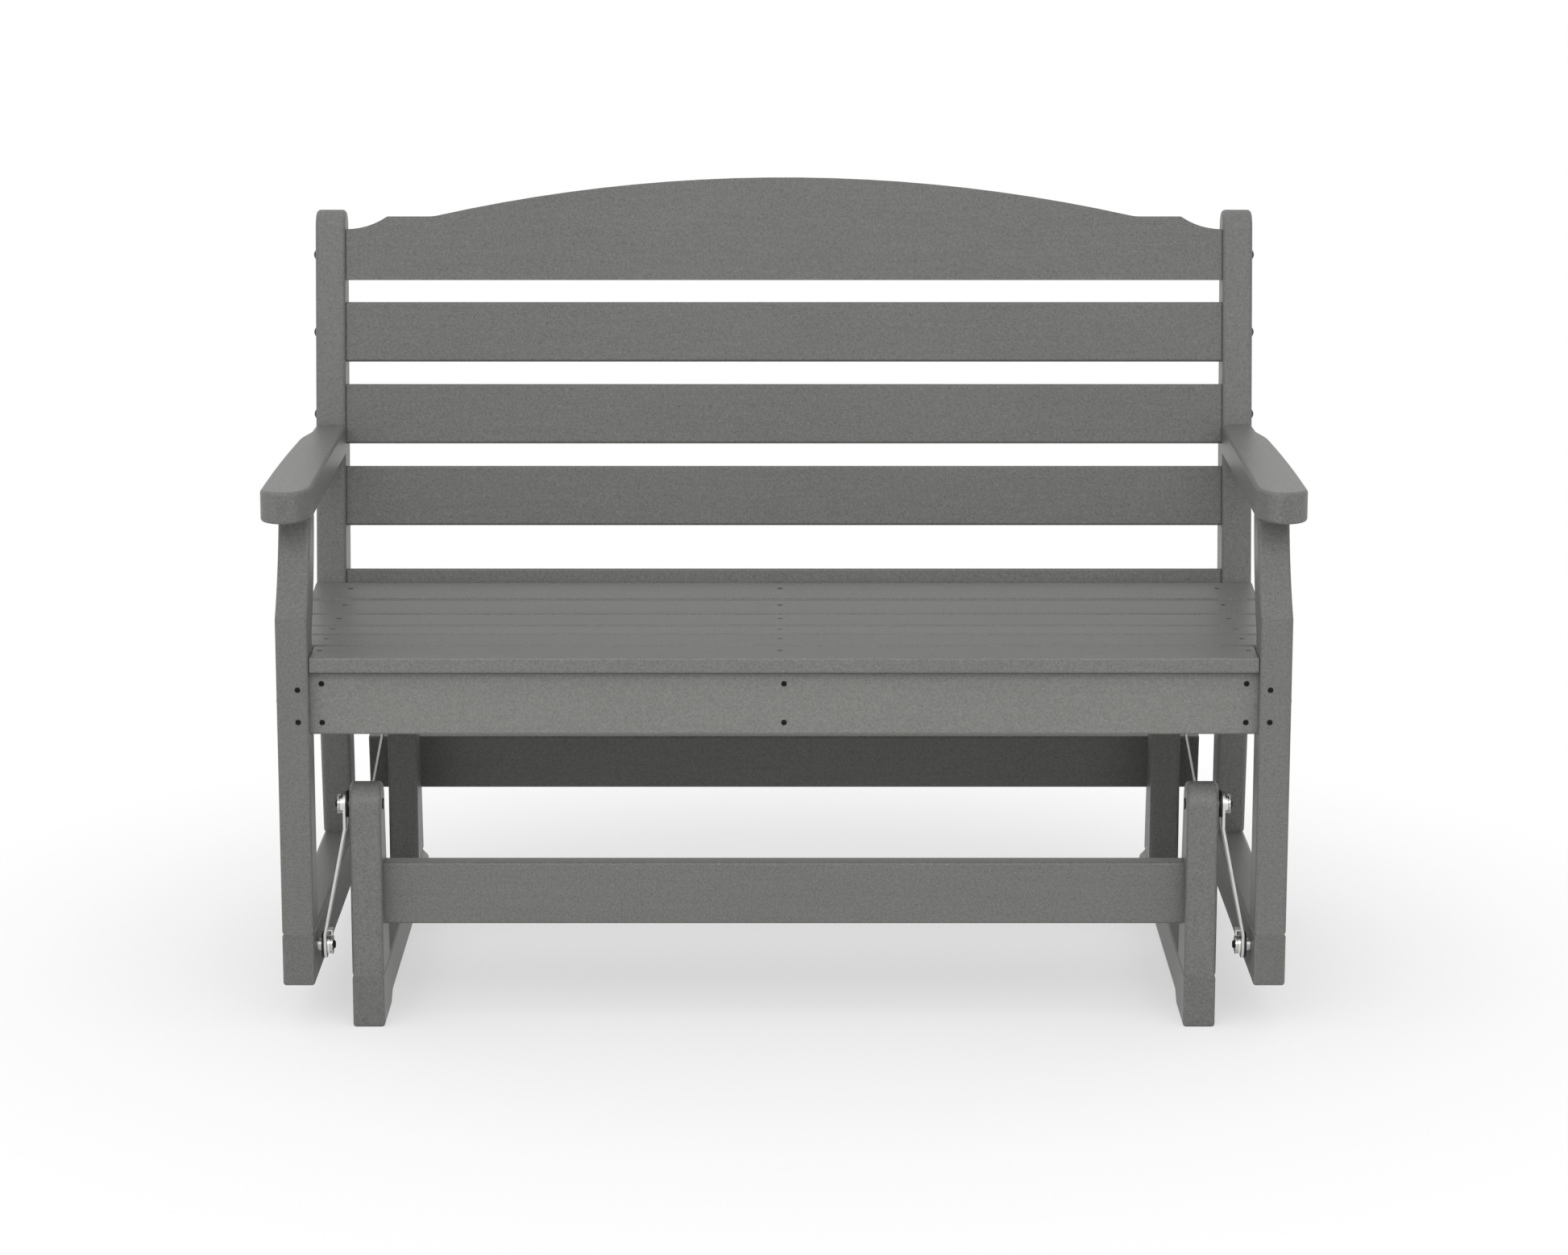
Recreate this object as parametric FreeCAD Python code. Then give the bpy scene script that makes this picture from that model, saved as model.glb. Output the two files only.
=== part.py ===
import FreeCAD, Part
import math
import os

# A glider bench in grey plastic lumber. A seat frame hangs from a floor base on four steel links.
# X runs across the bench, Y from front to back and Z up, in millimetres. Left is the -X side.
# Places along Y are first measured from the front face of the seat's front legs. Every piece is
# moved at the end, so that the origin lies on the floor under the middle of the bench.

Vector = FreeCAD.Vector
ACROSS = Vector(1, 0, 0)
BACKWARD = Vector(0, 1, 0)
UP = Vector(0, 0, 1)

# A length too small to see, which keeps two curves from meeting in a point
hair = 0.01

# Lumber
frame_thick = 38.1
rail_thick = 25.4
slat_thick = 19.0
arm_thick = 38.1
board_round = 3.2
board_end_round = 1.5
runner_round = 4.0
leg_round = 4.5
post_round = 5.2
arm_round = 4.0

# Side frames of the seat and of the base
seat_half_width = 599.0
link_room = 43.2
seat_runner_height = 63.5
base_runner_height = 63.5
runner_tail = 79.0
tail_drop = 28.2
tail_top_round = 14.0
tail_toe_round = 10.0
runner_nose_round = 4.0

# Seat front legs, which are straight up to a kink and then curve back under the arms
front_leg_depth = 54.0
front_kink_height = 505.0
rear_kink_height = 475.0
leg_top_front = 64.4
leg_top_rear = 110.0
leg_front_bulge = 9.5
leg_rear_bulge = 10.9
arm_top = 657.3

# Seat rear posts, each bent once and rounded at the top
post_foot_front = 486.5
post_foot_depth = 51.5
post_bend_height = 375.0
post_bend_front = 453.6
post_bend_depth = 68.4
post_bend_round = 150.0
post_lean = 0.1762
post_rear_lean = 0.138
post_shoulder_height = 924.8
post_top_flat = 1.2

# Arms, seen from above: a nose of two quarter ellipses, a slow taper and a short bend in to the post
arm_overhang_outside = 14.7
arm_overhang_inside = 6.5
arm_fall = 3.8
arm_nose = -14.0
arm_nose_outer_run = 30.0
arm_nose_inner_run = 50.0
arm_taper_start = 80.0
arm_bend_start = 385.0
arm_bend_overhang = 9.2
arm_bend_end = 455.0
arm_bend_lead_in = 28.0
arm_bend_lead_out = 17.0

# Seat slats, front to back, each with its own tilt in degrees
seat_height = 456.7
slat_gap = 6.4
slat_post_gap = 5.7
slat_tilts = (-0.8, -2.1, -4.1, -1.2, 2.1, 5.6)
first_slat_front = 4.5
first_slat_side_gap = 0.5

# Front apron under the seat slats
apron_front = 17.0
apron_height = 76.2
apron_slat_gap = 0.5

# Back, whose boards lie between the posts, set in from their front face
back_inset = 6.0
back_end_gap = 0.6
back_board_width = 76.0
back_board_gap = 28.8
lower_rail_width = 98.0
lower_rail_rise = 15.0
top_rail_drop = 88.8
top_rail_end_width = 64.5
top_rail_shoulder = 16.3
top_rail_cove = 52.3
top_rail_end_reach = 112.1
top_rail_rise = 49.8
top_rail_crest_round = 5.0
top_rail_valley_round = 60.0
first_gap_below_top_rail = 28.6

# Base
base_front = 15.0
base_foot_length = 95.0
base_rear_foot_length = 104.0
base_relief = 12.0
base_relief_run = 18.0
rear_pivot_behind_post = 17.0
base_leg_foot_depth = 86.5
base_leg_top_round = 27.0
pivot_height = 270.4
front_stretcher_bottom = 121.4
front_stretcher_height = 76.0
front_stretcher_setback = 27.0
rear_stretcher_height = 73.0
rear_stretcher_start = 88.0
rear_stretcher_overhang = 30.3

# Links and their pivots
link_length = 174.4
lower_pivot_rise = 40.0
strap_width = 31.8
strap_thick = 3.0
upper_standoff = 5.3
lower_standoff = 8.8
strap_upper_straight = 27.4
strap_lower_straight = 16.0
strap_bend_round = 6.0
guard_reach = 6.8
guard_drop = 7.2
guard_thick = 1.6
guard_width = 12.0
guard_height = 19.5
guard_rooting = 1.6
pivot_bolt_radius = 4.0
running_clearance = 0.05
strap_hole_radius = 4.8
side_clearance = 0.3
washer_radius = 7.2
spacer_radius = 16.5
spacer_thick = 2.8
drum_radius = 11.2
drum_length = 4.2
drum_round = 0.6
groove_radius = 9.6
groove_width = 0.9
rim_radius = 11.6
rim_thick = 1.9
rim_notches = 12
rim_notch_width = 1.6
rim_notch_depth = 1.0
nut_radius = 5.5
nut_thick = 2.4
nut_end_thick = 1.0
upper_head_radius = 6.5
upper_head_height = 1.6
lower_head_radius = 6.5
lower_head_height = 5.0
lower_head_recess = 7.0

# Wood-type screws with sunk heads
screw_head_radius = 3.5
screw_head_height = 2.6
screw_shank_radius = 2.2
screw_sink = 1.0
slat_screw_sink = 2.0
screw_drive_width = 1.1
screw_drive_depth = 1.2
screw_drive_reach = 2.5
slat_screw_length = 50.0
slat_screw_setback = 44.0
slat_screw_aside = 4.8
apron_screw_length = 60.0
apron_screw_spacing = 47.0
side_rail_screw_spacing = 39.0
side_rail_screw_bite = 30.0
support_screw_inset = 13.8
stretcher_screw_length = 62.0
stretcher_hole_shares = (0.25, 0.75)

# Button-head bolts through the side frames into the ends of the boards
button_radius = 6.2
button_height = 3.6
button_shank_radius = 3.0
button_length = 80.0
button_socket_radius = 1.9
button_socket_depth = 1.6

# Long bolts with heads sunk in round pockets
pocket_radius = 7.5
pocket_head_radius = 6.0
pocket_head_height = 5.0
pocket_shank_radius = 3.0
leg_pocket_depth = 12.0
leg_bolt_grip = 55.0
seat_front_foot_bolts = (10.0, 26.0)
seat_rear_foot_bolts = (12.0, 38.0)
base_front_foot_bolts = (22.0, 62.0)
base_rear_foot_bolts = (22.0, 70.0)
post_pocket_depth = 8.0
post_bolt_grip = 45.0
arm_pin_radius = 4.0
arm_pin_length = 54.0

# Sizes that follow
seat_inner = seat_half_width - frame_thick
base_half_width = seat_inner - link_room
base_inner = base_half_width - frame_thick
lower_pivot_height = pivot_height - link_length
seat_clearance = lower_pivot_height - lower_pivot_rise
seat_runner_top = seat_clearance + seat_runner_height
arm_bottom = arm_top - arm_thick
post_foot_rear = post_foot_front + post_foot_depth
front_pivot = base_front + base_leg_top_round
rear_pivot = post_foot_rear + rear_pivot_behind_post
base_rear_leg_front = rear_pivot - base_leg_top_round
base_leg_foot_rear = base_rear_leg_front + base_leg_foot_depth
base_rear = base_leg_foot_rear + runner_tail
middle = (base_rear + arm_nose) / 2
upper_strap_x = base_half_width + upper_standoff
lower_strap_x = seat_inner - lower_standoff
bearing_length = drum_length + groove_width + rim_thick
recline = math.atan(post_lean)
seat_support_bottom = seat_height - slat_thick - apron_slat_gap - apron_height
apron_middle = seat_support_bottom + apron_height / 2
support_screw_x = seat_inner - support_screw_inset
lower_rail_top = seat_height + lower_rail_rise
top_rail_bottom = post_shoulder_height - top_rail_drop
top_rail_shoulder_end = seat_inner - top_rail_end_reach
back_half_length = seat_inner - back_end_gap
arm_half_width = seat_half_width + arm_overhang_outside
arm_inner_front = seat_inner - arm_overhang_inside


def rounded_wire(corners):
    """Closed flat outline through corners given as (point, radius); radius 0 leaves a sharp corner."""
    stretches = []
    count = len(corners)
    for i, (here, radius) in enumerate(corners):
        if radius == 0:
            stretches.append((here, None, here))
            continue
        back = (corners[i - 1][0] - here).normalize()
        ahead = (corners[(i + 1) % count][0] - here).normalize()
        half = back.getAngle(ahead) / 2
        reach = radius / math.tan(half)
        to_centre = (back + ahead).normalize()
        top = here + to_centre * (radius / math.sin(half) - radius)
        stretches.append((here + back * reach, top, here + ahead * reach))
    edges = []
    for i, (start, top, stop) in enumerate(stretches):
        if top is not None:
            edges.append(Part.Arc(start, top, stop).toShape())
        following = stretches[(i + 1) % count][0]
        if (following - stop).Length > hair / 1000:
            edges.append(Part.makeLine(stop, following))
    return Part.Wire(edges)


def side_points(corners):
    """Corners (y, z, radius) of a side outline as points with radii, at x = 0."""
    return [(Vector(0, y, z), radius) for y, z, radius in corners]


def plank(wire, travel, round_over, keep=None):
    """Moves a flat outline along travel and rounds the outline's edges on both faces.

    keep(edge) may say which of those edges stay sharp."""
    solid = Part.Face(wire).extrude(travel)
    along = Vector(travel).normalize()
    near = wire.Vertexes[0].Point.dot(along)
    far = near + travel.Length
    edges = []
    for edge in solid.Edges:
        heights = [v.Point.dot(along) for v in edge.Vertexes]
        on_near = all(abs(h - near) < hair / 1000 for h in heights)
        on_far = all(abs(h - far) < hair / 1000 for h in heights)
        if not (on_near or on_far):
            continue
        if keep is not None and keep(edge):
            continue
        edges.append(edge)
    if round_over > 0:
        solid = solid.makeFillet(round_over, edges)
    return solid


def side_plank(wire, inner_x, thickness, round_over):
    """Piece of a right-hand side frame, from inner_x outwards."""
    outline = wire.copy()
    outline.translate(ACROSS * inner_x)
    return plank(outline, ACROSS * thickness, round_over)


def cross_board(corner, thick_way, thickness, wide_way, width, half_length, end_round):
    """Board across the bench. corner is its corner in the side view; the two ways are unit vectors."""
    points = [
        corner,
        corner + wide_way * width,
        corner + wide_way * width + thick_way * thickness,
        corner + thick_way * thickness,
    ]
    wire = rounded_wire([(p - ACROSS * half_length, board_round) for p in points])
    return plank(wire, ACROSS * (2 * half_length), end_round)


def mirrored(shape):
    """The same piece on the other side of the bench."""
    return shape.mirror(Vector(0, 0, 0), ACROSS)


def both_sides(shape):
    """A group of solids and their mirror images."""
    return [shape, mirrored(shape)]


def cylinder(start, way, length, radius):
    return Part.makeCylinder(radius, length, start, way)


def parallelogram(corner, one_side, other_side):
    """Flat face with a corner and the two sides that leave it."""
    far = corner + one_side + other_side
    return Part.Face(Part.makePolygon([corner, corner + one_side, far, corner + other_side, corner]))


def group(solids):
    return Part.makeCompound([s for shape in solids for s in shape.Solids])


def drill(pieces, cutter, *names):
    """Cuts a fastener's hole into the named pieces."""
    for name in names:
        pieces[name] = pieces[name].cut(cutter)


# Fasteners. Each has a solid and a cutter with the same walls, so that it fills its own hole.

def screw(surface, way, length, sink=screw_sink):
    """Screw with a cross drive whose head lies below surface by sink."""
    head = surface + way * sink
    neck = head + way * screw_head_height
    cone = Part.makeCone(screw_head_radius, screw_shank_radius, screw_head_height, head, way)
    shank = cylinder(neck, way, length - screw_head_height, screw_shank_radius)
    solid = cone.fuse(shank)
    aside = way.cross(ACROSS if abs(way.x) < 0.5 else UP).normalize()
    other = way.cross(aside).normalize()
    reach = screw_drive_reach
    for long_way, short_way in ((aside, other), (other, aside)):
        corner = head - long_way * reach - short_way * (screw_drive_width / 2)
        slot = parallelogram(corner, long_way * (2 * reach), short_way * screw_drive_width)
        solid = solid.cut(slot.extrude(way * screw_drive_depth))
    mouth = cylinder(surface - way, way, sink + 1, screw_head_radius)
    return solid, cone.fuse(shank).fuse(mouth)


def button_bolt(surface, way, length):
    """Bolt with a domed head standing on surface and a round socket."""
    dome_radius = (button_radius ** 2 + button_height ** 2) / (2 * button_height)
    dome = Part.makeSphere(dome_radius, surface + way * (dome_radius - button_height))
    head = dome.common(cylinder(surface - way * button_height, way, button_height, button_radius))
    shank = cylinder(surface, way, length, button_shank_radius)
    socket = cylinder(surface - way * button_height, way, button_socket_depth, button_socket_radius)
    return head.fuse(shank).cut(socket), shank


def pocket_bolt(surface, way, pocket_depth, grip):
    """Bolt whose head sits at the bottom of a round pocket; it reaches grip past the head."""
    floor = surface + way * pocket_depth
    head = cylinder(floor - way * pocket_head_height, way, pocket_head_height, pocket_head_radius)
    shank = cylinder(floor, way, grip, pocket_shank_radius)
    pocket = cylinder(surface - way * pocket_depth, way, 2 * pocket_depth, pocket_radius)
    socket = cylinder(floor - way * pocket_head_height, way, button_socket_depth, button_socket_radius)
    return head.fuse(shank).cut(socket), pocket.fuse(shank)


# Outlines in the side view

def tail_corners(leg_rear, bottom, height):
    """Rear end of a runner: its top slopes down behind the leg to a rounded toe."""
    end = leg_rear + runner_tail
    return [
        (end, bottom, tail_toe_round),
        (end, bottom + height - tail_drop, tail_top_round),
        (leg_rear, bottom + height, 0),
    ]


def seat_runner_wire():
    corners = [(0, seat_clearance, runner_nose_round)]
    corners += tail_corners(post_foot_rear, seat_clearance, seat_runner_height)
    corners.append((0, seat_runner_top, 0))
    return rounded_wire(side_points(corners))


def base_runner_wire():
    toe = base_front + base_foot_length
    heel = base_rear - base_rear_foot_length
    corners = [
        (base_front, 0, runner_nose_round),
        (toe, 0, base_relief / 2),
        (toe + base_relief_run, base_relief, base_relief),
        (heel - base_relief_run, base_relief, base_relief),
        (heel, 0, base_relief / 2),
    ]
    corners += tail_corners(base_leg_foot_rear, 0, base_runner_height)
    corners.append((base_front, base_runner_height, 0))
    return rounded_wire(side_points(corners))


def bulging_arc(start, stop, bulge):
    """Arc in the side view from start up to stop, which bulges towards the back by bulge."""
    chord = stop - start
    backwards = Vector(0, chord.z, -chord.y).normalize()
    return Part.Arc(start, (start + stop) * 0.5 + backwards * bulge, stop).toShape()


def post_front(z):
    """Front face of the reclined part of a post."""
    return post_bend_front + post_lean * (z - post_bend_height)


def post_rear(z):
    return post_bend_front + post_bend_depth + post_rear_lean * (z - post_bend_height)


arm_slope = arm_fall / (post_front(arm_top) - arm_nose)


def arm_under(y):
    """Height of an arm's underside, which falls towards the back."""
    return arm_bottom - arm_slope * (y - arm_nose)


def front_leg_wire():
    """Straight leg whose upper part sweeps back in two arcs to meet the arm."""
    front_foot = Vector(0, 0, seat_runner_top)
    front_kink = Vector(0, 0, front_kink_height)
    front_top = Vector(0, leg_top_front, arm_under(leg_top_front))
    rear_top = Vector(0, leg_top_rear, arm_under(leg_top_rear))
    rear_kink = Vector(0, front_leg_depth, rear_kink_height)
    rear_foot = Vector(0, front_leg_depth, seat_runner_top)
    return Part.Wire([
        Part.makeLine(front_foot, front_kink),
        bulging_arc(front_kink, front_top, leg_front_bulge),
        Part.makeLine(front_top, rear_top),
        bulging_arc(rear_kink, rear_top, leg_rear_bulge),
        Part.makeLine(rear_kink, rear_foot),
        Part.makeLine(rear_foot, front_foot),
    ])


def post_wire():
    shoulder = Vector(0, post_front(post_shoulder_height), post_shoulder_height)
    down_back = Vector(0, math.cos(recline), -math.sin(recline))
    start_gap = post_rear(post_shoulder_height) - shoulder.y
    run = start_gap / (down_back.y - post_rear_lean * down_back.z)
    rear_shoulder = shoulder + down_back * run
    rear_edge = Vector(0, -post_rear_lean, -1)
    rear_half = rear_edge.getAngle(-down_back) / 2
    top_round = (run - post_top_flat) / (1 + 1 / math.tan(rear_half))
    corners = side_points([
        (post_foot_front, seat_runner_top, 0),
        (post_bend_front, post_bend_height, post_bend_round),
    ])
    corners.append((shoulder, top_round))
    corners.append((rear_shoulder, top_round))
    corners += side_points([
        (post_bend_front + post_bend_depth, post_bend_height, post_bend_round),
        (post_foot_rear, seat_runner_top, 0),
    ])
    return rounded_wire(corners)


def base_leg_lines(front):
    """Centre of a base leg's round top, foot of its sloping rear edge, and where the two touch."""
    centre = Vector(0, front + base_leg_top_round, pivot_height)
    foot = Vector(0, front + base_leg_foot_depth, base_runner_height)
    reach = foot - centre
    turn = math.acos(base_leg_top_round / reach.Length)
    angle = math.atan2(reach.z, reach.y) + turn
    tangent = centre + Vector(0, math.cos(angle), math.sin(angle)) * base_leg_top_round
    return centre, foot, tangent


def base_leg_wire(front):
    centre, foot, tangent = base_leg_lines(front)
    top = centre + UP * base_leg_top_round
    return Part.Wire([
        Part.makeLine(Vector(0, front, base_runner_height), Vector(0, front, pivot_height)),
        Part.Arc(Vector(0, front, pivot_height), top, tangent).toShape(),
        Part.makeLine(tangent, foot),
        Part.makeLine(foot, Vector(0, front, base_runner_height)),
    ])


# Seat slats and what they lie on

def tilted(degrees):
    """Unit vector towards the back that rises by an angle."""
    return Vector(0, math.cos(math.radians(degrees)), math.sin(math.radians(degrees)))


slat_ways = [tilted(tilt) for tilt in slat_tilts]
gap_ways = [tilted((slat_tilts[i] + slat_tilts[i + 1]) / 2) for i in range(len(slat_tilts) - 1)]
slats_room = post_front(seat_height) - slat_post_gap - first_slat_front
slat_width = (slats_room - slat_gap * sum(way.y for way in gap_ways)) / sum(way.y for way in slat_ways)


def slat_frames():
    """Front top corner and the direction towards the back of each seat slat."""
    corner = Vector(0, first_slat_front, seat_height)
    frames = [(corner, slat_ways[0])]
    for i, step in enumerate(gap_ways):
        corner = corner + slat_ways[i] * slat_width + step * slat_gap
        frames.append((corner, slat_ways[i + 1]))
    return frames


def square_to(along):
    """Unit vector down out of a board's top face."""
    return Vector(0, along.z, -along.y)


def seat_slats():
    slats = []
    for i, (corner, along) in enumerate(slat_frames()):
        half = seat_inner - first_slat_side_gap if i == 0 else seat_half_width
        down = square_to(along)
        slats.append(cross_board(corner, down, slat_thick, along, slat_width, half, board_end_round))
    return slats


def support_wire(front, first):
    """Side outline of a board on edge whose top follows the undersides of the slats."""
    frames = slat_frames()
    tops = []
    for corner, along in frames[first:]:
        under = corner + square_to(along) * slat_thick
        tops.append(under)
        tops.append(under + along * slat_width)
    slope = frames[first][1].z / frames[first][1].y
    tops[0] = Vector(0, front, tops[0].z + (front - tops[0].y) * slope)
    beyond = frames[-1][1]
    tops[-1] = tops[-1] + beyond * (2 * frame_thick)
    ends = [Vector(0, tops[-1].y, seat_support_bottom), Vector(0, front, seat_support_bottom)]
    return Part.Wire([
        Part.makeLine(a, b)
        for a, b in zip(tops + ends, (tops + ends)[1:] + tops[:1])
    ])


# Back boards

back_up = Vector(0, math.sin(recline), math.cos(recline))
back_in = Vector(0, math.cos(recline), -math.sin(recline))


def back_point(height, behind=0.0):
    """Point behind the posts' front face at a height, on the back boards' front face or behind it."""
    return Vector(0, post_front(height), height) + back_in * (back_inset + behind)


def back_board(top_distance, width):
    """Board of the back whose top edge lies top_distance up the slope from the top rail's bottom."""
    corner = back_point(top_rail_bottom) + back_up * (top_distance - width)
    return cross_board(corner, back_in, slat_thick, back_up, width, back_half_length, 0)


def blend_arc(centre, radius, level, blend, below):
    """Where a small arc touches a level line and, from outside, a circle.

    Returns (x, up) of the touching point on the circle, the middle of the arc and the point on the line,
    all to the left of the circle's centre."""
    up = level - blend if below else level + blend
    run = math.sqrt((radius + blend) ** 2 - (up - centre[1]) ** 2)
    middle_point = Vector(centre[0] - run, up, 0)
    on_circle = middle_point + (Vector(centre[0], centre[1], 0) - middle_point).normalize() * blend
    on_line = Vector(middle_point.x, level, 0)
    halfway = ((on_circle + on_line) * 0.5 - middle_point).normalize() * blend + middle_point
    return [(p.x, p.y) for p in (on_circle, halfway, on_line)]


def top_rail():
    """Arched rail: a cove at each end, a flat shoulder and one long arc between them."""
    origin = back_point(top_rail_bottom)

    def at(x, up):
        return origin + ACROSS * x + back_up * up

    def arc(*points):
        return Part.Arc(*[at(*p) for p in points]).toShape()
    shoulder_up = top_rail_end_width + top_rail_shoulder
    cove_radius = (top_rail_cove ** 2 + top_rail_shoulder ** 2) / (2 * top_rail_shoulder)
    cove_centre = (back_half_length, top_rail_end_width + cove_radius)
    arch_radius = (top_rail_shoulder_end ** 2 + top_rail_rise ** 2) / (2 * top_rail_rise)
    arch_centre = (0, shoulder_up + top_rail_rise - arch_radius)
    crest = blend_arc(cove_centre, cove_radius, shoulder_up, top_rail_crest_round, True)
    valley = blend_arc(arch_centre, arch_radius, shoulder_up, top_rail_valley_round, False)
    cove_turn = math.asin((back_half_length - crest[0][0]) / cove_radius) / 2
    cove_middle = (
        back_half_length - cove_radius * math.sin(cove_turn),
        cove_centre[1] - cove_radius * math.cos(cove_turn),
    )
    end = (back_half_length, top_rail_end_width)

    def flip(point):
        return (-point[0], point[1])
    wire = Part.Wire([
        Part.makeLine(at(-back_half_length, 0), at(*flip(end))),
        arc(flip(end), flip(cove_middle), flip(crest[0])),
        arc(*[flip(p) for p in crest]),
        Part.makeLine(at(*flip(crest[2])), at(*valley[2])),
        arc(valley[2], valley[1], valley[0]),
        arc(valley[0], (0, shoulder_up + top_rail_rise), flip(valley[0])),
        arc(*[flip(p) for p in valley]),
        Part.makeLine(at(*flip(valley[2])), at(*crest[2])),
        arc(crest[2], crest[1], crest[0]),
        arc(crest[0], cove_middle, end),
        Part.makeLine(at(*end), at(back_half_length, 0)),
        Part.makeLine(at(back_half_length, 0), at(-back_half_length, 0)),
    ])

    def at_the_posts(edge):
        return all(abs(abs(v.X) - back_half_length) < hair / 1000 for v in edge.Vertexes)
    return plank(wire, back_in * slat_thick, board_round, at_the_posts)


# Arms

def bezier(*poles):
    curve = Part.BezierCurve()
    curve.setPoles(list(poles))
    return curve.toShape()


def quarter_ellipse(start, corner, stop):
    """Quarter ellipse from start to stop in the angle whose corner is given."""
    # How far towards the corner the inner poles lie
    share = 4 * (math.sqrt(2) - 1) / 3
    return bezier(start, start + (corner - start) * share, stop + (corner - stop) * share, stop)


def arm():
    """Right arm: widest and round at its nose, drawn in at the back, butted against the post."""
    past_post = post_front(arm_top) + frame_thick

    def at(x, y):
        return Vector(x, y, arm_bottom)
    middle_x = (arm_inner_front + arm_half_width) / 2
    nose = at(middle_x, arm_nose)
    outer = at(arm_half_width, arm_nose + arm_nose_outer_run)
    inner = at(arm_inner_front, arm_nose + arm_nose_inner_run)
    taper_start = at(arm_half_width, arm_taper_start)
    taper_middle = at(arm_half_width, (arm_taper_start + arm_bend_start) / 2)
    bend_start = at(seat_half_width + arm_bend_overhang, arm_bend_start)
    bend_end = at(seat_half_width, arm_bend_end)
    lead_in = bend_start + (bend_start - taper_middle).normalize() * arm_bend_lead_in
    lead_out = bend_end - BACKWARD * arm_bend_lead_out
    wire = Part.Wire([
        quarter_ellipse(nose, at(arm_half_width, arm_nose), outer),
        Part.makeLine(outer, taper_start),
        bezier(taper_start, taper_middle, bend_start),
        bezier(bend_start, lead_in, lead_out, bend_end),
        Part.makeLine(bend_end, at(seat_half_width, past_post)),
        Part.makeLine(at(seat_half_width, past_post), at(seat_inner, past_post)),
        Part.makeLine(at(seat_inner, past_post), inner),
        quarter_ellipse(inner, at(arm_inner_front, arm_nose), nose),
    ])
    solid = plank(wire, UP * arm_thick, arm_round)
    solid.rotate(nose, ACROSS, -math.degrees(math.atan(arm_slope)))
    foot = Vector(0, post_front(post_bend_height), post_bend_height)
    behind = parallelogram(foot, back_up * post_shoulder_height, BACKWARD * seat_half_width)
    return solid.cut(behind.extrude(ACROSS * (2 * arm_half_width)))


# Links

def strap(pivot_y):
    """Steel strip with a joggle and round ends, and a small guard over the lower bearing."""
    upper = pivot_height + strap_width / 2
    lower = lower_pivot_height - strap_width / 2
    bend_top = pivot_height - strap_upper_straight
    bend_low = lower_pivot_height + strap_lower_straight
    x_up = upper_strap_x
    x_low = lower_strap_x
    front = pivot_y - strap_width / 2
    inner_bend = strap_bend_round - strap_thick
    corners = [
        (x_up, upper, 0),
        (x_up + strap_thick, upper, 0),
        (x_up + strap_thick, bend_top, strap_bend_round),
        (x_low, bend_low, inner_bend),
        (x_low, lower, 0),
        (x_low - strap_thick, lower, 0),
        (x_low - strap_thick, bend_low, strap_bend_round),
        (x_up, bend_top, inner_bend),
    ]
    wire = rounded_wire([(Vector(x, front, z), radius) for x, z, radius in corners])
    strip = Part.Face(wire).extrude(BACKWARD * strap_width)
    end_round = strap_width / 2 - hair
    rear = front + strap_width
    outline = rounded_wire([
        (Vector(x_up - 1, y, z), end_round)
        for y, z in ((front, upper), (rear, upper), (rear, lower), (front, lower))
    ])
    solid = strip.common(Part.Face(outline).extrude(ACROSS * (x_low - x_up + 2)))
    guard_top = lower_pivot_height + guard_height
    face = x_low - strap_thick
    guard = Part.makeBox(
        guard_reach + guard_rooting, guard_width, guard_thick,
        Vector(face - guard_reach, pivot_y - guard_width / 2, guard_top - guard_thick),
    )
    lip = Part.makeBox(
        guard_thick, guard_width, guard_drop,
        Vector(face - guard_reach, pivot_y - guard_width / 2, guard_top - guard_drop),
    )
    solid = solid.fuse(guard).fuse(lip).removeSplitter()
    for x, z in ((x_up, pivot_height), (x_low - strap_thick, lower_pivot_height)):
        hole = cylinder(Vector(x - 1, pivot_y, z), ACROSS, strap_thick + 2, strap_hole_radius)
        solid = solid.cut(hole)
    return solid


def end_edges(solid, start, way, distance):
    """Round edges of a solid that lie at a distance along way from start."""
    edges = []
    for edge in solid.Edges:
        ahead = (edge.Vertexes[0].Point - start).dot(way)
        if len(edge.Vertexes) == 1 and abs(ahead - distance) < hair:
            edges.append(edge)
    return edges


def bearing(start, way):
    """Bearing on a strap's face: a drum, a groove and a notched rim, bored for the pivot bolt."""
    drum = cylinder(start, way, drum_length, drum_radius)
    drum = drum.makeFillet(drum_round, end_edges(drum, start, way, drum_length))
    rim_start = start + way * (drum_length + groove_width)
    rim = cylinder(rim_start, way, rim_thick, rim_radius)
    rim = rim.makeFillet(drum_round, end_edges(rim, rim_start, way, rim_thick))
    for i in range(rim_notches):
        notch = Part.makeBox(
            rim_thick + 2, rim_notch_width, 2 * rim_notch_depth,
            Vector(-1, -rim_notch_width / 2, rim_radius - rim_notch_depth),
        )
        notch.rotate(Vector(0, 0, 0), ACROSS, 360.0 * i / rim_notches)
        notch.translate(rim_start + way * rim_thick if way.x < 0 else rim_start)
        rim = rim.cut(notch)
    core = cylinder(start, way, bearing_length, groove_radius)
    solid = drum.fuse(core).fuse(rim)
    return solid.cut(cylinder(start - way, way, bearing_length + 2, pivot_bolt_radius + running_clearance))


def link_bearings(pivot_y):
    upper = bearing(Vector(upper_strap_x + strap_thick, pivot_y, pivot_height), ACROSS)
    lower = bearing(Vector(lower_strap_x - strap_thick, pivot_y, lower_pivot_height), -ACROSS)
    return group([upper, lower])


# Pivots between a frame and the links

def ring(start, way, length, radius, bore):
    return cylinder(start, way, length, radius).cut(cylinder(start - way, way, length + 2, bore))


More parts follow.
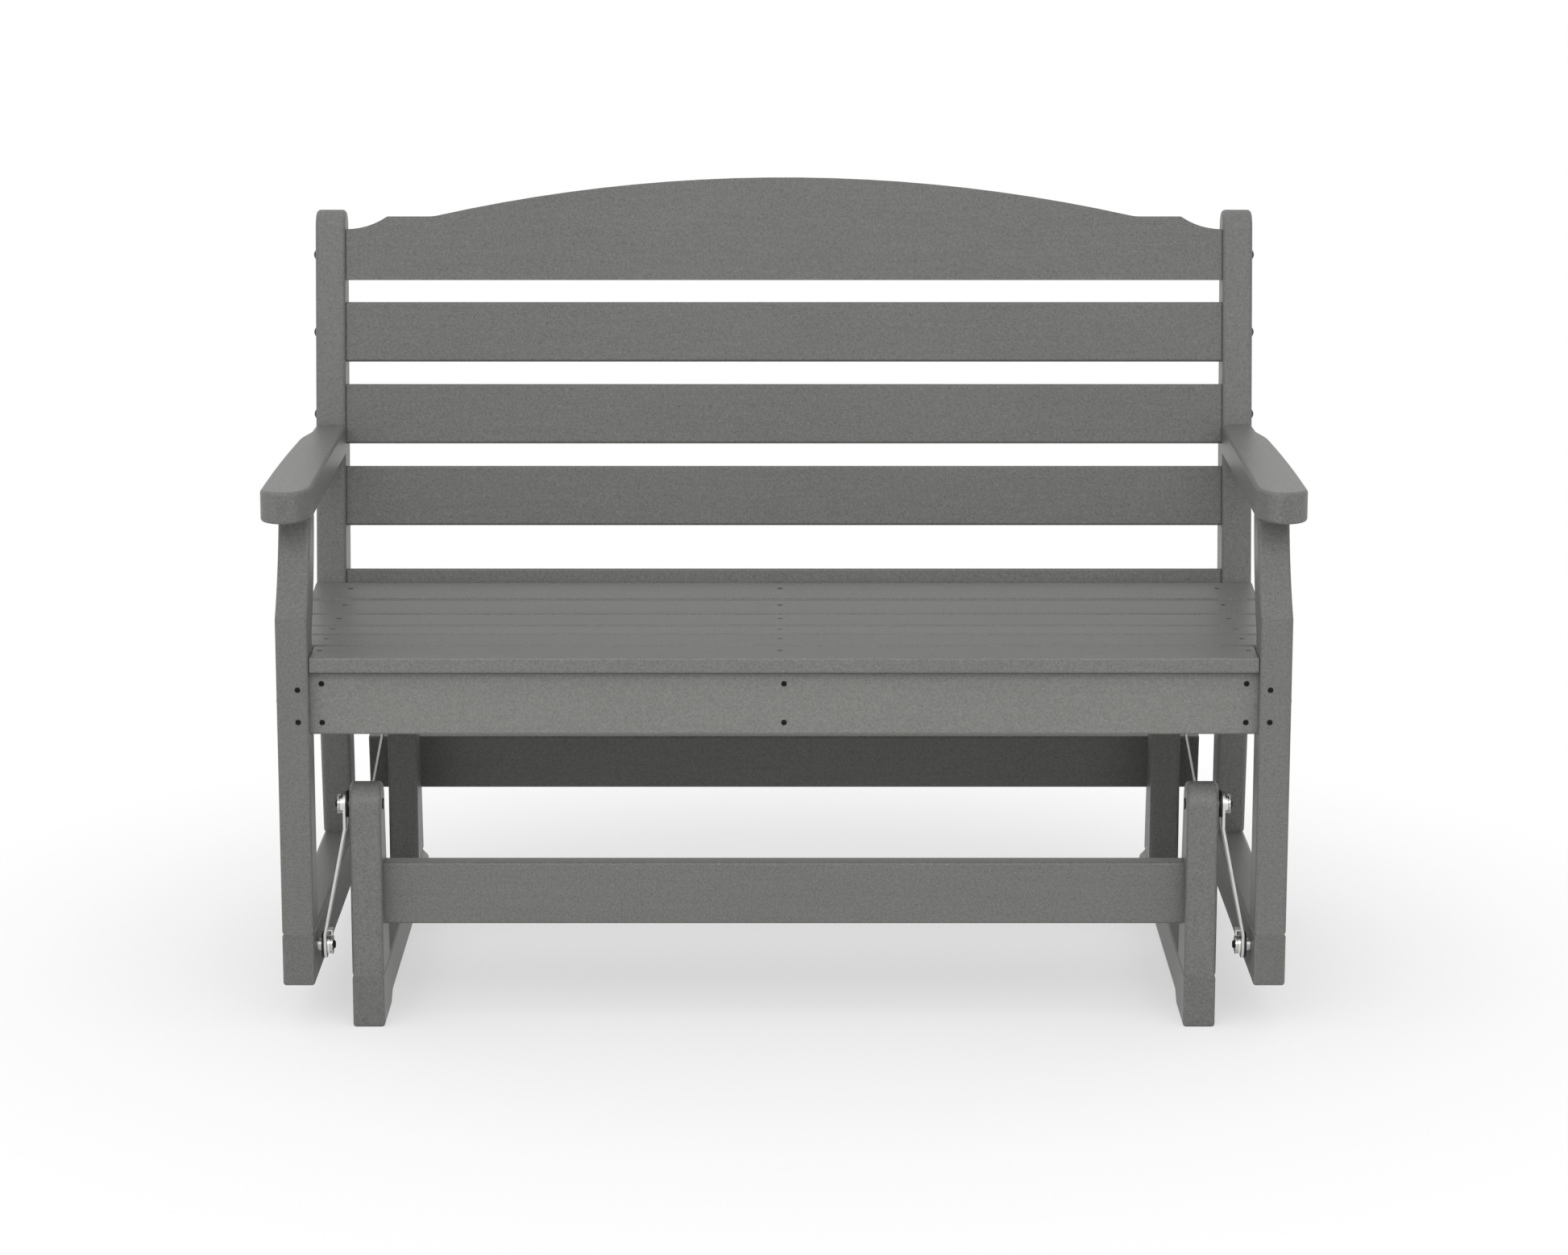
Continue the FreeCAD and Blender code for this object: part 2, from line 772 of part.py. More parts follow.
def pivot_stack(start, way, standoff):
    """Washer, spacer and closed nut on the pivot bolt that leaves a frame's face at start."""
    washer_thick = standoff - spacer_thick - side_clearance
    washer = ring(start, way, washer_thick, washer_radius, pivot_bolt_radius)
    spacer = ring(start + way * washer_thick, way, spacer_thick, spacer_radius, pivot_bolt_radius)
    nut_start = start + way * (standoff + strap_thick + bearing_length + side_clearance)
    nut = cylinder(nut_start, way, nut_thick, nut_radius)
    bore = cylinder(nut_start, way, nut_thick - nut_end_thick, pivot_bolt_radius)
    return washer, spacer, nut.cut(bore)


def pivot_reach(standoff):
    """Distance from a frame's face to the end of the pivot bolt's shank."""
    to_nut = standoff + strap_thick + bearing_length + side_clearance
    return to_nut + nut_thick - nut_end_thick


def upper_bolt(y):
    start = Vector(base_inner, y, pivot_height)
    head = cylinder(start, -ACROSS, upper_head_height, upper_head_radius)
    shank = cylinder(start, ACROSS, frame_thick + pivot_reach(upper_standoff), pivot_bolt_radius)
    return head.fuse(shank), shank


def lower_bolt(y):
    start = Vector(seat_half_width - lower_head_recess, y, lower_pivot_height)
    head = cylinder(start, ACROSS, lower_head_height, lower_head_radius)
    shank_length = frame_thick - lower_head_recess + pivot_reach(lower_standoff)
    shank = cylinder(start, -ACROSS, shank_length, pivot_bolt_radius)
    pocket = cylinder(start, ACROSS, 2 * lower_head_recess, lower_head_radius)
    return head.fuse(shank), shank.fuse(pocket)


# Boards. Each function adds its pieces under their names; side pieces are made for the right side.

def add_base(pieces):
    """Side frame of the base and the front stretcher."""
    pieces["base_runner"] = side_plank(base_runner_wire(), base_inner, frame_thick, runner_round)
    for place, front in (("front", base_front), ("rear", base_rear_leg_front)):
        leg = side_plank(base_leg_wire(front), base_inner, frame_thick, post_round)
        pieces["base_%s_leg" % place] = leg
    pieces["base_front_stretcher"] = cross_board(
        Vector(0, base_front + front_stretcher_setback, front_stretcher_bottom),
        BACKWARD, rail_thick, UP, front_stretcher_height, base_inner, 0,
    )


def rear_slope():
    """Foot of the rear stretcher on the rear legs' sloping edge, the way up it and the way out of it."""
    centre, foot, tangent = base_leg_lines(base_rear_leg_front)
    up = (tangent - foot).normalize()
    return foot + up * rear_stretcher_start, up, Vector(0, up.z, -up.y)


def add_rear_stretcher(pieces):
    foot, up, out = rear_slope()
    half = base_half_width + rear_stretcher_overhang
    pieces["base_rear_stretcher"] = cross_board(
        foot, out, rail_thick, up, rear_stretcher_height, half, board_end_round,
    )


def add_seat_frame(pieces):
    """Side frame of the seat with its arm."""
    pieces["seat_runner"] = side_plank(seat_runner_wire(), seat_inner, frame_thick, runner_round)
    pieces["seat_front_leg"] = side_plank(front_leg_wire(), seat_inner, frame_thick, leg_round)
    pieces["seat_rear_post"] = side_plank(post_wire(), seat_inner, frame_thick, post_round)
    pieces["arm"] = arm()


def back_slat_tops():
    """Distances of the back slats' top edges down the slope from the top rail, as many as fit."""
    room = (top_rail_bottom - lower_rail_top) / math.cos(recline) - first_gap_below_top_rail
    pitch = back_board_width + back_board_gap
    count = int((room + back_board_gap) / pitch)
    return [first_gap_below_top_rail + i * pitch for i in range(count)]


def lower_rail_corner():
    """Lower front corner of the lower back rail."""
    return back_point(lower_rail_top) - back_up * lower_rail_width


def add_back(pieces):
    """Arched rail, slats and lower rail between the posts."""
    pieces["back_top_rail"] = top_rail()
    for i, top in enumerate(back_slat_tops()):
        pieces["back_slat_%d" % (i + 1)] = back_board(-top, back_board_width)
    pieces["back_lower_rail"] = cross_board(
        lower_rail_corner(), back_in, slat_thick, back_up, lower_rail_width, back_half_length, 0,
    )


def add_supports(pieces):
    """Three boards on edge under the slats, from the apron to the lower back rail."""
    wire = support_wire(apron_front + rail_thick, 0)
    corner = lower_rail_corner()
    width = 2 * seat_half_width
    behind = parallelogram(corner, back_up * seat_height, BACKWARD * seat_height)
    behind.translate(ACROSS * -seat_half_width)
    below_rail = Part.makeBox(
        width, seat_height, seat_height, Vector(-seat_half_width, corner.y, corner.z - seat_height),
    )
    faces = {"seat_support_centre": -rail_thick / 2, "seat_support": seat_inner - rail_thick}
    for name, inner_x in faces.items():
        outline = wire.copy()
        outline.translate(ACROSS * inner_x)
        solid = Part.Face(outline).extrude(ACROSS * rail_thick)
        pieces[name] = solid.cut(behind.extrude(ACROSS * width)).cut(below_rail)


def add_side_rail(pieces):
    """Board outside the support, from the front leg to the post, under the ends of the slats."""
    wire = support_wire(front_leg_depth, 1)
    wire.translate(ACROSS * seat_inner)
    rail = Part.Face(wire).extrude(ACROSS * rail_thick)
    start_x = seat_inner - frame_thick / 2
    post_block = Part.Face(post_wire()).extrude(ACROSS * (2 * frame_thick))
    post_block.translate(ACROSS * start_x)
    behind_post = Part.makeBox(
        2 * frame_thick, seat_height, 2 * seat_height,
        Vector(start_x, post_bend_front + post_bend_depth / 2, 0),
    )
    pieces["seat_side_rail"] = rail.cut(post_block).cut(behind_post)


def add_seat(pieces):
    """Apron, slats and what carries them."""
    add_supports(pieces)
    add_side_rail(pieces)
    pieces["front_apron"] = cross_board(
        Vector(0, apron_front, seat_support_bottom), BACKWARD, rail_thick, UP, apron_height, seat_inner, 0,
    )
    for i, slat in enumerate(seat_slats()):
        pieces["seat_slat_%d" % (i + 1)] = slat


# Fasteners. Each function drills its holes and returns the solids of one or two nodes.

def drill_support(pieces, cutter, x):
    """Cuts the support at x. The left one is made later as the mirror image of the right one."""
    if x == 0:
        drill(pieces, cutter, "seat_support_centre")
    elif x > 0:
        drill(pieces, cutter, "seat_support")


def slat_screws(pieces):
    """Screws down through the slats into the supports."""
    solids = []
    for i, (corner, along) in enumerate(slat_frames()):
        for x in (-support_screw_x, 0, support_screw_x):
            aside = slat_screw_aside if x > 0 else -slat_screw_aside
            top = corner + along * slat_screw_setback + ACROSS * (x + aside)
            solid, cutter = screw(top, square_to(along), slat_screw_length, slat_screw_sink)
            solids.append(solid)
            drill(pieces, cutter, "seat_slat_%d" % (i + 1))
            drill_support(pieces, cutter, x)
    return solids


def apron_screws(pieces):
    """Screws through the apron into the front ends of the supports."""
    solids = []
    for x in (-support_screw_x, 0, support_screw_x):
        for side in (-1, 1):
            place = Vector(x, apron_front, apron_middle + side * apron_screw_spacing / 2)
            solid, cutter = screw(place, BACKWARD, apron_screw_length)
            solids.append(solid)
            drill(pieces, cutter, "front_apron")
            drill_support(pieces, cutter, x)
    return solids


def support_screws(pieces):
    """Screws through the lower back rail into the rear ends of the supports."""
    solids = []
    for x in (-support_screw_x, 0, support_screw_x):
        place = back_point(apron_middle, slat_thick) + ACROSS * x
        solid, cutter = screw(place, -back_in, apron_screw_length)
        solids.append(solid)
        drill(pieces, cutter, "back_lower_rail")
        drill_support(pieces, cutter, x)
    return solids


def side_rail_screws(pieces):
    """Screws through the front legs into the side rails."""
    solids = []
    for side in (-1, 1):
        height = apron_middle + side * side_rail_screw_spacing / 2
        place = Vector(seat_inner + rail_thick / 2, 0, height)
        solid, cutter = screw(place, BACKWARD, front_leg_depth + side_rail_screw_bite)
        solids += both_sides(solid)
        drill(pieces, cutter, "seat_front_leg", "seat_side_rail")
    return solids


def end_bolt(pieces, place, frame_piece, board):
    """Button-head bolt through a side piece into the end of a board, on both sides."""
    solid, cutter = button_bolt(place, -ACROSS, button_length)
    drill(pieces, cutter, frame_piece, board)
    drill(pieces, mirrored(cutter), board)
    return both_sides(solid)


def cross_board_bolts(pieces):
    """Bolts through the posts into the back's boards, and through the front legs into the apron."""
    half_board = back_in * (slat_thick / 2) + ACROSS * seat_half_width
    rail_foot = back_point(top_rail_bottom) + half_board
    places = [("back_top_rail", rail_foot + back_up * (top_rail_end_width / 2))]
    for i, top in enumerate(back_slat_tops()):
        places.append(("back_slat_%d" % (i + 1), rail_foot - back_up * (top + back_board_width / 2)))
    places.append(("back_lower_rail", lower_rail_corner() + half_board + back_up * (lower_rail_width / 2)))
    solids = []
    for board, place in places:
        solids += end_bolt(pieces, place, "seat_rear_post", board)
    place = Vector(seat_half_width, apron_front + rail_thick / 2, apron_middle)
    return solids + end_bolt(pieces, place, "seat_front_leg", "front_apron")


def stretcher_bolts(pieces):
    """Bolts through the base's front legs into the front stretcher."""
    solids = []
    for share in stretcher_hole_shares:
        place = Vector(
            base_half_width, base_front + front_stretcher_setback + rail_thick / 2,
            front_stretcher_bottom + front_stretcher_height * share,
        )
        solids += end_bolt(pieces, place, "base_front_leg", "base_front_stretcher")
    return solids


def stretcher_screws(pieces):
    """Screws through the rear stretcher into the base's rear legs."""
    foot, up, out = rear_slope()
    solids = []
    for share in stretcher_hole_shares:
        place = foot + up * (rear_stretcher_height * share) + out * rail_thick
        place.x = base_half_width - frame_thick / 2
        solid, cutter = screw(place, -out, stretcher_screw_length)
        solids += both_sides(solid)
        drill(pieces, cutter, "base_rear_stretcher", "base_rear_leg")
        drill(pieces, mirrored(cutter), "base_rear_stretcher")
    return solids


def foot_bolts(pieces, place, depth, runner_height, runner, leg):
    """Bolt up through a runner into the foot of a leg."""
    grip = runner_height - depth + leg_bolt_grip
    solid, cutter = pocket_bolt(place, UP, depth, grip)
    drill(pieces, cutter, runner, leg)
    return both_sides(solid)


def seat_leg_bolts(pieces):
    feet = [("seat_front_leg", offset) for offset in seat_front_foot_bolts]
    feet += [("seat_rear_post", post_foot_front + offset) for offset in seat_rear_foot_bolts]
    solids = []
    for leg, y in feet:
        place = Vector(seat_inner + frame_thick / 2, y, seat_clearance)
        solids += foot_bolts(pieces, place, leg_pocket_depth, seat_runner_height, "seat_runner", leg)
    return solids


def base_leg_bolts(pieces):
    """Bolts of the base's legs. A bolt over the relief has its pocket that much deeper."""
    feet = [("base_front_leg", base_front + offset) for offset in base_front_foot_bolts]
    feet += [("base_rear_leg", base_rear_leg_front + offset) for offset in base_rear_foot_bolts]
    solids = []
    for leg, y in feet:
        over_foot = y < base_front + base_foot_length or y > base_rear - base_rear_foot_length
        depth = leg_pocket_depth if over_foot else leg_pocket_depth + base_relief
        place = Vector(base_inner + frame_thick / 2, y, 0)
        solids += foot_bolts(pieces, place, depth, base_runner_height, "base_runner", leg)
    return solids


def post_bolts(pieces):
    """Bolts forward through the posts into the arms and the side rails."""
    arm_middle = arm_under(post_front(arm_bottom)) + arm_thick / 2
    arm_place = ("arm", seat_inner + frame_thick / 2, arm_middle)
    rail_place = ("seat_side_rail", seat_inner + rail_thick / 2, apron_middle)
    solids = []
    for piece, x, z in (arm_place, rail_place):
        grip = post_rear(z) - post_front(z) - post_pocket_depth + post_bolt_grip
        solid, cutter = pocket_bolt(Vector(x, post_rear(z), z), -BACKWARD, post_pocket_depth, grip)
        solids += both_sides(solid)
        drill(pieces, cutter, "seat_rear_post", piece)
    return solids


def arm_pins(pieces):
    """Pins between the front legs and the arms."""
    start = Vector(
        seat_inner + frame_thick / 2, (leg_top_front + leg_top_rear) / 2, arm_bottom - arm_pin_length / 2,
    )
    pin = cylinder(start, UP, arm_pin_length, arm_pin_radius)
    drill(pieces, pin, "arm", "seat_front_leg")
    return both_sides(pin)


def pivots(pieces, level):
    """The upper or lower pivots as a dictionary from node to solids."""
    kinds = ("bolts", "washers", "spacers", "nuts")
    nodes = {"%s_pivot_%s" % (level, kind): [] for kind in kinds}
    for y, base_leg in ((front_pivot, "base_front_leg"), (rear_pivot, "base_rear_leg")):
        if level == "upper":
            bolt, cutter = upper_bolt(y)
            drill(pieces, cutter, base_leg)
            stack = pivot_stack(Vector(base_half_width, y, pivot_height), ACROSS, upper_standoff)
        else:
            bolt, cutter = lower_bolt(y)
            drill(pieces, cutter, "seat_runner")
            stack = pivot_stack(Vector(seat_inner, y, lower_pivot_height), -ACROSS, lower_standoff)
        for kind, solid in zip(kinds, (bolt,) + stack):
            nodes["%s_pivot_%s" % (level, kind)] += both_sides(solid)
    return nodes


# Building

side_pieces = (
    "base_runner", "base_front_leg", "base_rear_leg", "seat_runner", "seat_front_leg",
    "seat_rear_post", "arm", "seat_side_rail", "seat_support",
)


def build():
    """All pieces of the bench by name, with a left piece for each right one."""
    pieces = {}
    add_base(pieces)
    add_rear_stretcher(pieces)
    add_seat_frame(pieces)
    add_back(pieces)
    add_seat(pieces)
    fasteners = {
        "seat_slat_screws": slat_screws(pieces),
        "apron_screws": apron_screws(pieces),
        "support_screws": support_screws(pieces),
        "side_rail_screws": side_rail_screws(pieces),
        "cross_board_bolts": cross_board_bolts(pieces),
        "base_stretcher_bolts": stretcher_bolts(pieces),
        "base_stretcher_screws": stretcher_screws(pieces),
        "seat_leg_bolts": seat_leg_bolts(pieces),
        "base_leg_bolts": base_leg_bolts(pieces),
        "post_bolts": post_bolts(pieces),
        "arm_pins": arm_pins(pieces),
    }
    fasteners.update(pivots(pieces, "upper"))
    fasteners.update(pivots(pieces, "lower"))
    for place, y in (("front", front_pivot), ("rear", rear_pivot)):
        pieces["link_strap_" + place] = strap(y)
        pieces["link_bearings_" + place] = link_bearings(y)
    bench = {name: group(solids) for name, solids in fasteners.items()}
    for name, piece in pieces.items():
        if name in side_pieces or name.startswith("link_"):
            bench[name + "_right"] = piece
            bench[name + "_left"] = mirrored(piece)
        else:
            bench[name] = piece
    return bench


def save(bench):
    os.makedirs("parts", exist_ok=True)
    for name, shape in bench.items():
        moved = shape.copy()
        moved.translate(BACKWARD * -middle)
        moved.exportStep("parts/" + name + ".step")


save(build())
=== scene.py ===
import math

import bmesh
import bpy
from bpy.props import FloatProperty, FloatVectorProperty, IntProperty, PointerProperty
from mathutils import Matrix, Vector


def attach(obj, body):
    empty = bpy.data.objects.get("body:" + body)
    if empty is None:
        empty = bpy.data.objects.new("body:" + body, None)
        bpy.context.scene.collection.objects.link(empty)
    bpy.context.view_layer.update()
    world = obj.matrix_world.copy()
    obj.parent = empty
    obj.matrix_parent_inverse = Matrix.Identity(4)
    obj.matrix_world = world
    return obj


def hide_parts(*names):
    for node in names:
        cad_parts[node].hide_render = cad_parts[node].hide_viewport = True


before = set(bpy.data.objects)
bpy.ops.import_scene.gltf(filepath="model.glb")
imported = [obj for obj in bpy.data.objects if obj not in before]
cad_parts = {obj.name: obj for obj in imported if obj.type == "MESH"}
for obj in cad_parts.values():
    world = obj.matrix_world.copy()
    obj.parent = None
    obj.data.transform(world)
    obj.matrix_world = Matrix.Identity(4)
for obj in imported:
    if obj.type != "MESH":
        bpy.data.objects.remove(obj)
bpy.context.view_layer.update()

bl_info = {
    "name": "Glider Bench",
    "version": (1, 0, 0),
    "blender": (4, 5, 0),
    "location": "3D View > Sidebar > Glider Bench",
    "description": "Finishes, fasteners and stage for a porch glider bench in grey plastic lumber",
    "category": "Object",
}

# X runs across the bench, Y from front to back and Z up, in metres. Left is the -X side.
SIDES = (("right", 1.0), ("left", -1.0))
PLACES = ("front", "rear")

# Boards by the way their grain runs
SEAT_BOARDS = ["seat_slat_1", "seat_slat_2", "seat_slat_3", "seat_slat_4", "seat_slat_5", "seat_slat_6"]
BACK_BOARDS = ["back_top_rail", "back_slat_1", "back_slat_2", "back_slat_3", "back_lower_rail"]
STRETCHERS = ["base_front_stretcher", "base_rear_stretcher"]
BOARDS_ALONG = ["seat_support_centre"]
BOARDS_UPRIGHT = []
for side, _ in SIDES:
    BOARDS_ALONG += [kind + side for kind in ("base_runner_", "seat_runner_", "arm_")]
    BOARDS_ALONG += [kind + side for kind in ("seat_side_rail_", "seat_support_")]
    BOARDS_UPRIGHT += [kind + side for kind in ("base_front_leg_", "base_rear_leg_")]
    BOARDS_UPRIGHT += [kind + side for kind in ("seat_front_leg_", "seat_rear_post_")]
LINKS = ["%s_%s" % (place, side) for place in PLACES for side, _ in SIDES]


# The floor's half width, and the wide lamp's size, its place and the point that it looks at
FLOOR_HALF = 30.0
LAMP_SIZE = (4.0, 1.6)
LAMP_PLACE = (0.0, -3.6, 2.6)
LAMP_TARGET = (0.0, -0.3, 0.4)


# Sizes and colours that a user may change

class LumberSettings(bpy.types.PropertyGroup):
    """Look of the grey plastic lumber"""
    colour: FloatVectorProperty(
        name="Colour", description="Colour of a moulded face", subtype="COLOR", size=3,
        min=0.0, max=1.0, default=(0.157, 0.158, 0.150),
    )
    cut_colour: FloatVectorProperty(
        name="Cut Colour", description="Colour of a sawn end", subtype="COLOR", size=3,
        min=0.0, max=1.0, default=(0.143, 0.143, 0.136),
    )
    sand_size: FloatProperty(
        name="Sand Size", description="Width of the sandy grains on a face", unit="LENGTH",
        min=0.0002, max=0.01, default=0.0020, precision=4,
    )
    mottle_size: FloatProperty(
        name="Mottle Size", description="Width of the lighter and darker patches", unit="LENGTH",
        min=0.001, max=0.05, default=0.0035, precision=4,
    )
    streak_size: FloatProperty(
        name="Streak Size", description="Width of the faint lines along a board", unit="LENGTH",
        min=0.001, max=0.05, default=0.006, precision=4,
    )
    cloud_size: FloatProperty(
        name="Cloud Size", description="Width of the wide faint clouds on a board", unit="LENGTH",
        min=0.01, max=1.0, default=0.22,
    )
    sand_contrast: FloatProperty(
        name="Sand Contrast", description="How much the sandy grains change the tone",
        min=0.0, max=2.0, default=1.0,
    )
    mottle_contrast: FloatProperty(
        name="Mottle Contrast", description="How much the patches change the tone",
        min=0.0, max=2.0, default=0.5,
    )
    streak_contrast: FloatProperty(
        name="Streak Contrast", description="How much the lines along a board change the tone",
        min=0.0, max=2.0, default=0.14,
    )
    cloud_contrast: FloatProperty(
        name="Cloud Contrast", description="How much the wide clouds change the tone",
        min=0.0, max=2.0, default=0.10,
    )
    grain_height: FloatProperty(
        name="Grain Height", description="Height of the sandy grains", unit="LENGTH",
        min=0.0, max=0.002, default=0.00022, precision=5,
    )
    roughness: FloatProperty(
        name="Roughness", description="Mean roughness of a moulded face", subtype="FACTOR",
        min=0.0, max=1.0, default=0.42,
    )
    # Painted light: makes the apron lighter to stand in for the light that falls on it, not a colour of its
    # own
    apron_painted_light: FloatProperty(
        name="Apron Shade", description="Tone of the front apron beside that of the frame",
        min=0.5, max=1.5, default=1.25,
    )
    # Painted light: makes the seat slats lighter to stand in for the light from above, not a colour of their
    # own
    seat_painted_light: FloatProperty(
        name="Seat Shade", description="Tone of the seat slats beside that of the frame",
        min=0.5, max=1.5, default=1.07,
    )
    # Painted shade: makes the back boards darker to stand in for the shade that falls on them, not a colour
    # of their own
    back_painted_shade: FloatProperty(
        name="Back Shade", description="Tone of the back boards beside that of the frame",
        min=0.5, max=1.5, default=0.91,
    )


class ScrewSettings(bpy.types.PropertyGroup):
    """Sizes of the cross-recess screws"""
    head_radius: FloatProperty(
        name="Head Radius", description="Radius of a screw head", unit="LENGTH",
        min=0.001, max=0.01, default=0.0034, precision=4,
    )
    head_height: FloatProperty(
        name="Head Height", description="Height of the sunk part of a head", unit="LENGTH",
        min=0.001, max=0.01, default=0.0026, precision=4,
    )
    shank_radius: FloatProperty(
        name="Shank Radius", description="Radius of a screw's shank", unit="LENGTH",
        min=0.0005, max=0.005, default=0.0021, precision=4,
    )
    drive_width: FloatProperty(
        name="Drive Width", description="Width of each slot of the cross", unit="LENGTH",
        min=0.0005, max=0.003, default=0.0011, precision=4,
    )
    drive_reach: FloatProperty(
        name="Drive Reach", description="Length of each arm of the cross", unit="LENGTH",
        min=0.001, max=0.008, default=0.0024, precision=4,
    )
    drive_depth: FloatProperty(
        name="Drive Depth", description="Depth of the cross", unit="LENGTH",
        min=0.0005, max=0.004, default=0.0016, precision=4,
    )


class BoltSettings(bpy.types.PropertyGroup):
    """Sizes of the button-head and sunk bolts"""
    button_radius: FloatProperty(
        name="Button Radius", description="Radius of a button head", unit="LENGTH",
        min=0.002, max=0.02, default=0.0062, precision=4,
    )
    button_height: FloatProperty(
        name="Button Height", description="Height of a button head", unit="LENGTH",
        min=0.001, max=0.01, default=0.0036, precision=4,
    )
    sunk_radius: FloatProperty(
        name="Sunk Radius", description="Radius of a head at the bottom of a pocket", unit="LENGTH",
        min=0.002, max=0.02, default=0.006, precision=4,
    )
    sunk_height: FloatProperty(
        name="Sunk Height", description="Height of a head at the bottom of a pocket", unit="LENGTH",
        min=0.001, max=0.01, default=0.005, precision=4,
    )
    shank_radius: FloatProperty(
        name="Shank Radius", description="Radius of a bolt's shank", unit="LENGTH",
        min=0.001, max=0.01, default=0.0029, precision=4,
    )
    socket_radius: FloatProperty(
        name="Socket Radius", description="Radius over the corners of the hexagonal socket",
        unit="LENGTH", min=0.0005, max=0.01, default=0.0022, precision=4,
    )
    socket_depth: FloatProperty(
        name="Socket Depth", description="Depth of the hexagonal socket", unit="LENGTH",
        min=0.0005, max=0.01, default=0.0019, precision=4,
    )


class PivotSettings(bpy.types.PropertyGroup):
    """Sizes of the bearings and nuts of the pivots"""
    bore_radius: FloatProperty(
        name="Bore Radius", description="Radius of the hole for the pivot bolt", unit="LENGTH",
        min=0.001, max=0.02, default=0.00405, precision=5,
    )
    drum_radius: FloatProperty(
        name="Drum Radius", description="Radius of a bearing's drum", unit="LENGTH",
        min=0.005, max=0.03, default=0.0112, precision=4,
    )
    drum_length: FloatProperty(
        name="Drum Length", description="Length of a bearing's drum, from the strap to the groove",
        unit="LENGTH", min=0.001, max=0.02, default=0.0042, precision=4,
    )
    groove_radius: FloatProperty(
        name="Groove Radius", description="Radius of a bearing at the bottom of its groove", unit="LENGTH",
        min=0.004, max=0.03, default=0.0096, precision=4,
    )
    rim_radius: FloatProperty(
        name="Rim Radius", description="Radius of a bearing's notched rim", unit="LENGTH",
        min=0.005, max=0.03, default=0.0116, precision=4,
    )
    rim_thick: FloatProperty(
        name="Rim Thickness", description="Thickness of a bearing's notched rim", unit="LENGTH",
        min=0.0005, max=0.01, default=0.0019, precision=4,
    )
    face_sink: FloatProperty(
        name="Face Sink", description="How deep a bearing's end face lies inside its rim", unit="LENGTH",
        min=0.0, max=0.005, default=0.0006, precision=4,
    )
    cap_radius: FloatProperty(
        name="Cap Radius", description="Radius of the round end of a nut", unit="LENGTH",
        min=0.001, max=0.01, default=0.0046, precision=4,
    )
    cap_height: FloatProperty(
        name="Cap Height", description="Height of the round end of a nut", unit="LENGTH",
        min=0.0002, max=0.005, default=0.0009, precision=4,
    )
    edge_round: FloatProperty(
        name="Edge Round", description="Rounding of the edges of washers, spacers and nuts",
        unit="LENGTH", min=0.0001, max=0.001, default=0.0004, precision=4,
    )
    rim_notches: IntProperty(
        name="Rim Notches", description="Crimps round the rim of a bearing", min=4, max=32, default=12,
    )
    notch_width: FloatProperty(
        name="Notch Width", description="Width of each crimp", unit="LENGTH",
        min=0.0005, max=0.005, default=0.0016, precision=4,
    )
    notch_depth: FloatProperty(
        name="Notch Depth", description="Depth of each crimp", unit="LENGTH",
        min=0.0002, max=0.003, default=0.0010, precision=4,
    )


class StageSettings(bpy.types.PropertyGroup):
    """Camera, light and floor"""
    camera_distance: FloatProperty(
        name="Camera Distance", description="Camera in front of the bench's middle", unit="LENGTH",
        min=1.0, max=30.0, default=5.38875,
    )
    camera_height: FloatProperty(
        name="Camera Height", description="Height of the camera above the floor", unit="LENGTH",
        min=0.1, max=10.0, default=1.5613,
    )
    camera_pitch: FloatProperty(
        name="Camera Pitch", description="How far the camera looks down", subtype="ANGLE",
        min=0.0, max=1.5, default=math.radians(11.933),
    )
    lens: FloatProperty(
        name="Lens", description="Focal length on a 36 mm wide sensor, in millimetres",
        min=10.0, max=500.0, default=100.81,
    )
    front_power: FloatProperty(
        name="Front Lamp", description="Power of the wide lamp above and in front", unit="POWER",
        min=0.0, max=2000.0, default=40.0,
    )
    room_light: FloatProperty(
        name="Room Light", description="Strength of the light from the white room",
        min=0.0, max=5.0, default=0.47,
    )
    side_lean: FloatProperty(
        name="Side Lean", description="How much more of the room's light comes from the left",
        min=0.0, max=1.0, default=0.35, subtype="FACTOR",
    )
    front_lean: FloatProperty(
        name="Front Lean", description="How much more of the room's light comes from the front",
        min=0.0, max=1.0, default=0.9, subtype="FACTOR",
    )
    top_lean: FloatProperty(
        name="Top Lean", description="How much more of the room's light comes from above",
        min=0.0, max=2.0, default=1.15,
    )
    floor_tone: FloatProperty(
        name="Floor Tone", description="Tone of the floor as it is seen",
        min=0.0, max=1.0, default=0.9, subtype="FACTOR",
    )
    floor_bounce: FloatProperty(
        name="Floor Bounce", description="Share of its light that the floor throws on to the bench",
        min=0.0, max=1.0, default=0.68, subtype="FACTOR",
    )
    floor_lift: FloatProperty(
        name="Floor Lift", description="Share of plain white in what the camera sees near the bench",
        min=0.0, max=1.0, default=0.54, subtype="FACTOR",
    )
    floor_reach: FloatProperty(
        name="Floor Reach", description="Distance from the bench at which the floor is plain white",
        unit="LENGTH", min=0.5, max=20.0, default=1.3,
    )


# Nodes written as plain expressions

